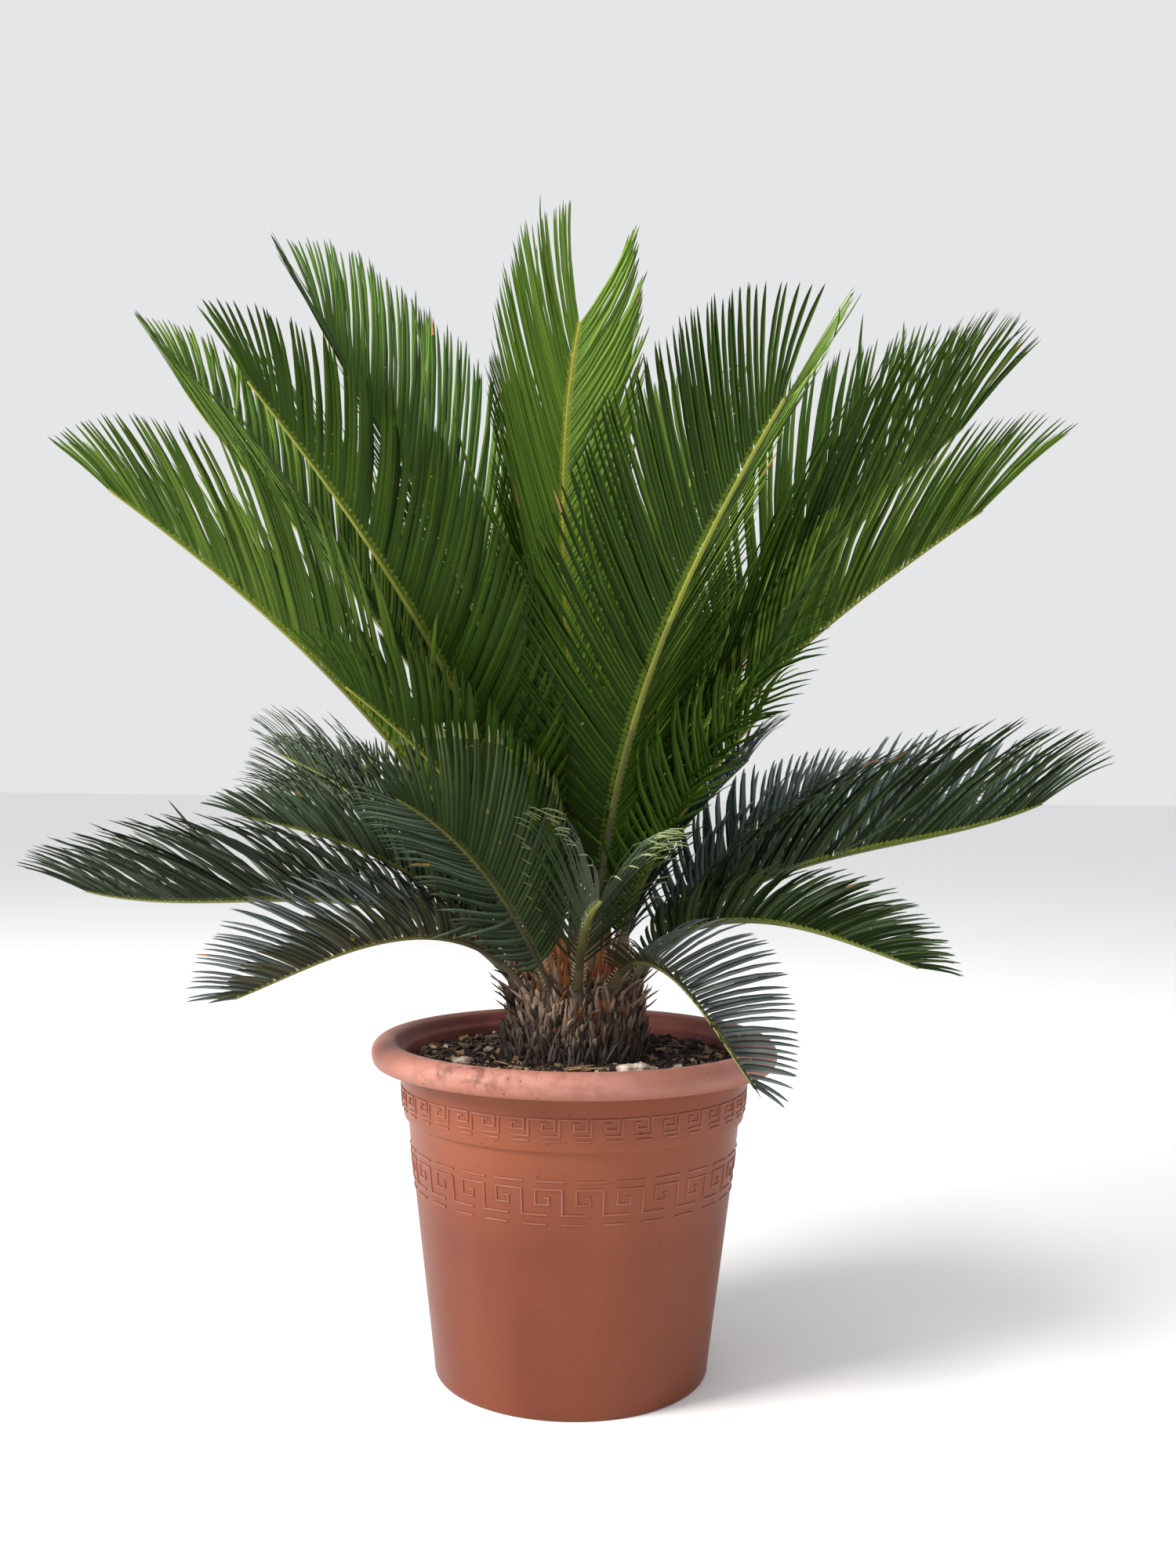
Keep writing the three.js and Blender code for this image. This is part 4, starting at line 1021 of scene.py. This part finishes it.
# Colours in thousandths; leaf has leafParts from deep to tip. slot is the record's finish, fronds the
# ones that have these colours; the rest go by their ring.
leafTones = dict(
    young=dict(
        slot="leaf_young", rings=("heart", "inner"), fronds=(),
        gloss=0.5, specular=0.1, rib=(400, 360, 14), ribLow=(100, 110, 20),
        leaf=[(40, 88, 5), (60, 122, 7), (98, 178, 13), (140, 240, 22), (110, 190, 22), (170, 210, 20),
              (50, 70, 18)]),
    tall=dict(
        slot="leaf_young", rings=(), fronds=("back_left_tall",),
        gloss=0.5, specular=0.1, rib=(200, 220, 18), ribLow=(85, 84, 26),
        leaf=[(12, 36, 2), (21, 54, 3), (45, 98, 7), (70, 135, 13), (46, 92, 10), (70, 100, 8), (30, 42, 14)]),
    grown=dict(
        slot="leaf_grown", rings=("middle",), fronds=(),
        gloss=0.5, specular=0.07, rib=(200, 215, 20), ribLow=(62, 64, 21),
        leaf=[(13, 36, 3), (20, 49, 4), (46, 96, 7), (92, 160, 15), (32, 69, 4), (60, 90, 8), (30, 42, 14)]),
    # A lighter copy of the grown colours: painted light on the high fronds.
    lit_grown=dict(
        slot="leaf_grown", rings=(), fronds=("back_right_high", "right_high", "left_high", "back_left_high"),
        gloss=0.5, specular=0.08, rib=(190, 200, 22), ribLow=(85, 82, 28),
        leaf=[(14, 40, 2), (26, 62, 4), (60, 118, 8), (120, 190, 18), (68, 120, 12), (80, 110, 10),
              (32, 44, 18)]),
    old=dict(
        slot="leaf_old", rings=("outer",), fronds=(),
        gloss=0.42, specular=0.15, rib=(150, 155, 30), ribLow=(62, 58, 24),
        leaf=[(6, 16, 4), (11, 24, 6), (18, 34, 9), (56, 84, 42), (52, 78, 36), (85, 110, 18), (55, 58, 26)]),
    olive=dict(
        slot="leaf_old", rings=(), fronds=("front_left_low", "left_inner_low"),
        gloss=0.45, specular=0.18, rib=(150, 150, 30), ribLow=(60, 56, 26),
        leaf=[(9, 21, 3), (13, 29, 4), (20, 37, 6), (34, 58, 11), (30, 50, 9), (50, 70, 15), (72, 94, 26)]),
)

# Colours of a frond's left and right row, where they differ from the others of its age: bronze and frost
# have a brown or blue gloss; slate's blue-grey is a painted reflection of the sky; moss and teal are lighter
# blue-green copies, painted light and painted sheen on rows in the crown's shade; sunny and dim are painted
# light and painted shade; wet and night hardly shine.
rowTones = dict(
    front_left_arch=("bronze", "slate"), front_right_arch=("slate", "bronze"), left_low=("night", "night"),
    right_low=("teal", "wet"), right_arch=("moss", "wet"), front_low=("frost", "frost"),
    back_right_low=("slate", "teal"), right_back_wide=("teal", "teal"), front_left_low=("moss", "olive"),
    front_right_tall=("sunny", "dim"), right_front_high=("sunny", "sunny"),
)
rowShine = dict(wet=0.05, night=0.05)
rowColors = dict(
    bronze=[(10, 12, 5), (16, 19, 7), (32, 36, 14), (66, 72, 32), (56, 59, 26), (60, 50, 15), (90, 85, 45)],
    # slate: its blue-grey is a painted reflection of the sky on the far rows' upper faces
    slate=[(16, 22, 19), (27, 36, 32), (52, 65, 60), (92, 110, 104), (64, 79, 72), (50, 70, 30), (50, 55, 45)],
    # moss: lighter than the old colours, painted light on a row in the crown's shade
    moss=[(16, 27, 13), (30, 48, 27), (56, 83, 48), (100, 138, 88), (72, 100, 58), (50, 70, 20), (45, 55, 30)],
    frost=[(10, 17, 8), (17, 28, 13), (34, 52, 26), (85, 122, 70), (40, 62, 25), (50, 60, 20), (170, 200, 85)],
    wet=[(6, 14, 2), (7, 16, 2), (22, 44, 6), (70, 105, 50), (35, 58, 18), (120, 160, 18), (40, 50, 20)],
    night=[(10, 16, 8), (14, 22, 10), (32, 45, 25), (80, 98, 66), (36, 47, 28), (40, 50, 10), (26, 30, 18)],
    # teal: much lighter, painted light and a painted blue-green sheen where the crown shades a row
    teal=[(44, 68, 54), (98, 142, 114), (115, 160, 135), (190, 250, 222), (195, 255, 210), (70, 100, 40),
          (50, 60, 45)],
    # dim and sunny: darker and lighter copies of the grown colours, painted shade and painted light on a
    # frond's rows
    dim=[(9, 26, 2), (14, 35, 3), (33, 70, 5), (67, 118, 11), (23, 50, 3), (45, 68, 6), (30, 42, 14)],
    sunny=[(21, 56, 5), (32, 77, 7), (72, 145, 12), (135, 225, 24), (52, 106, 8), (90, 135, 12), (30, 42, 14)],
)


def leafFinish(name, color, roughness, specular):
    # Waxy leaf: fine long veins across the blade, slight cloudiness and a few yellow flecks.
    leaf = Finish(name, roughness, specular)
    place = leaf.node("ShaderNodeUVMap", {"uv_map": "place"})
    across = leaf.node("ShaderNodeSeparateXYZ", None, {0: place}, output=0)
    veins = leaf.node("ShaderNodeMath", {"operation": "SINE"}, {0: across * 50})
    tone = leaf.mix(leaf.noise(24, 3), shade(color, 0.8), shade(color, 1.2))
    flecks = leaf.patches(150, 1, 0.76, 0.79, 0.7)
    return leaf.set(leaf.mix(flecks, tone, frondShape["fleckColor"]), None, leaf.bump(veins, 0.08, 0.0002))


def leafFinishes(name, colors, gloss, specular, dry):
    # One finish for each of leafParts; both undersides are a little duller, and the last is painted shade on
    # the under side's darker half.
    colors = [shade(color, 0.001) for color in colors]
    under = leafParts.index("under")
    made = [leafFinish(f"{name}_leaf_{part}", color, gloss + 0.1 * (part == "under"), specular)
            for part, color in zip(leafParts, colors)]
    shaded = shade(colors[under], frondShape["underside"])
    return made + [dry, leafFinish(f"{name}_leaf_underside", shaded, gloss + 0.1, specular)]


def ribFinish(name, color):
    return mottled(name, shade(color, 0.72), color, (70, 4), 0.45, 0.3, (300, 3, 0.15, 0.0005))


def joined(name, made, smooth):
    # One mesh of many (parts, kinds of quads, kinds of triangles).
    parts, quadKinds, triangleKinds = zip(*made)
    return makeMesh(name, *together(parts), kinds=np.concatenate(quadKinds + triangleKinds), smooth=smooth)


def makeFronds():
    special = [name for tones in leafTones.values() for name in tones["fronds"]]
    dry = ribFinish("dry_leaf_tip", frondShape["dryColor"])
    base = barkFinish("frond_base", shade(stem["rust"], 0.8), stem["rustPale"], 160)
    stalk = ribFinish("frond_stalk", frondShape["stalkColor"])
    spine = ribFinish("stalk_spines", frondShape["spineColor"])
    for age, tones in leafTones.items():
        fronds = {name: frond for name, frond in frondTable.items()
                  if name in tones["fronds"] or (frond.ring in tones["rings"] and name not in special)}
        leaves = [makeLeaflets(name, frond, 100 + number)
                  for number, (name, frond) in enumerate(fronds.items())]
        ribs = [makeRib(frond, 300 + number) for number, frond in enumerate(fronds.values())]
        nodes = [f"frond_{name}{part}" for name in fronds for part in ("", "_inner", "_outer")
                 if f"frond_{name}{part}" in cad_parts]

        # The age's own colours come first, then those that any of its rows has.
        used = [color for name in fronds for color in rowTones.get(name, ())]
        sets = {age: tones["leaf"], **{color: rowColors[color] for color in rowColors if color in used}}
        finishes = []
        for color, colors in sets.items():
            label = age if color == age else f"{age}_{color}"
            specular = rowShine.get(color, tones["specular"])
            finishes += leafFinishes(label, colors, tones["gloss"], specular, dry)
        first = {color: number * len(leafParts) for number, color in enumerate(sets)}
        for name, leaf in zip(fronds, leaves):
            left, right = (first[color] for color in rowTones.get(name, (age, age)))
            for kinds in leaf[1:]:
                kinds[:len(kinds) // 2] += left
                kinds[len(kinds) // 2:] += right
        steps = [shade(np.add(shade(tones["rib"], 1 - low), shade(tones["ribLow"], low)), 0.001)
                 for low in frondShape["ribSteps"]]
        ribFinishes = [ribFinish(f"{age}_rib_{number}", color) for number, color in enumerate(steps)]
        addPiece(joined(f"{age}_leaflets", leaves, False), finishes, tones["slot"], *nodes)
        addPiece(joined(f"{age}_ribs", ribs, True), ribFinishes + [stalk, base, spine], tones["slot"])
        print(age, "fronds ready:", len(fronds))


makeFronds()
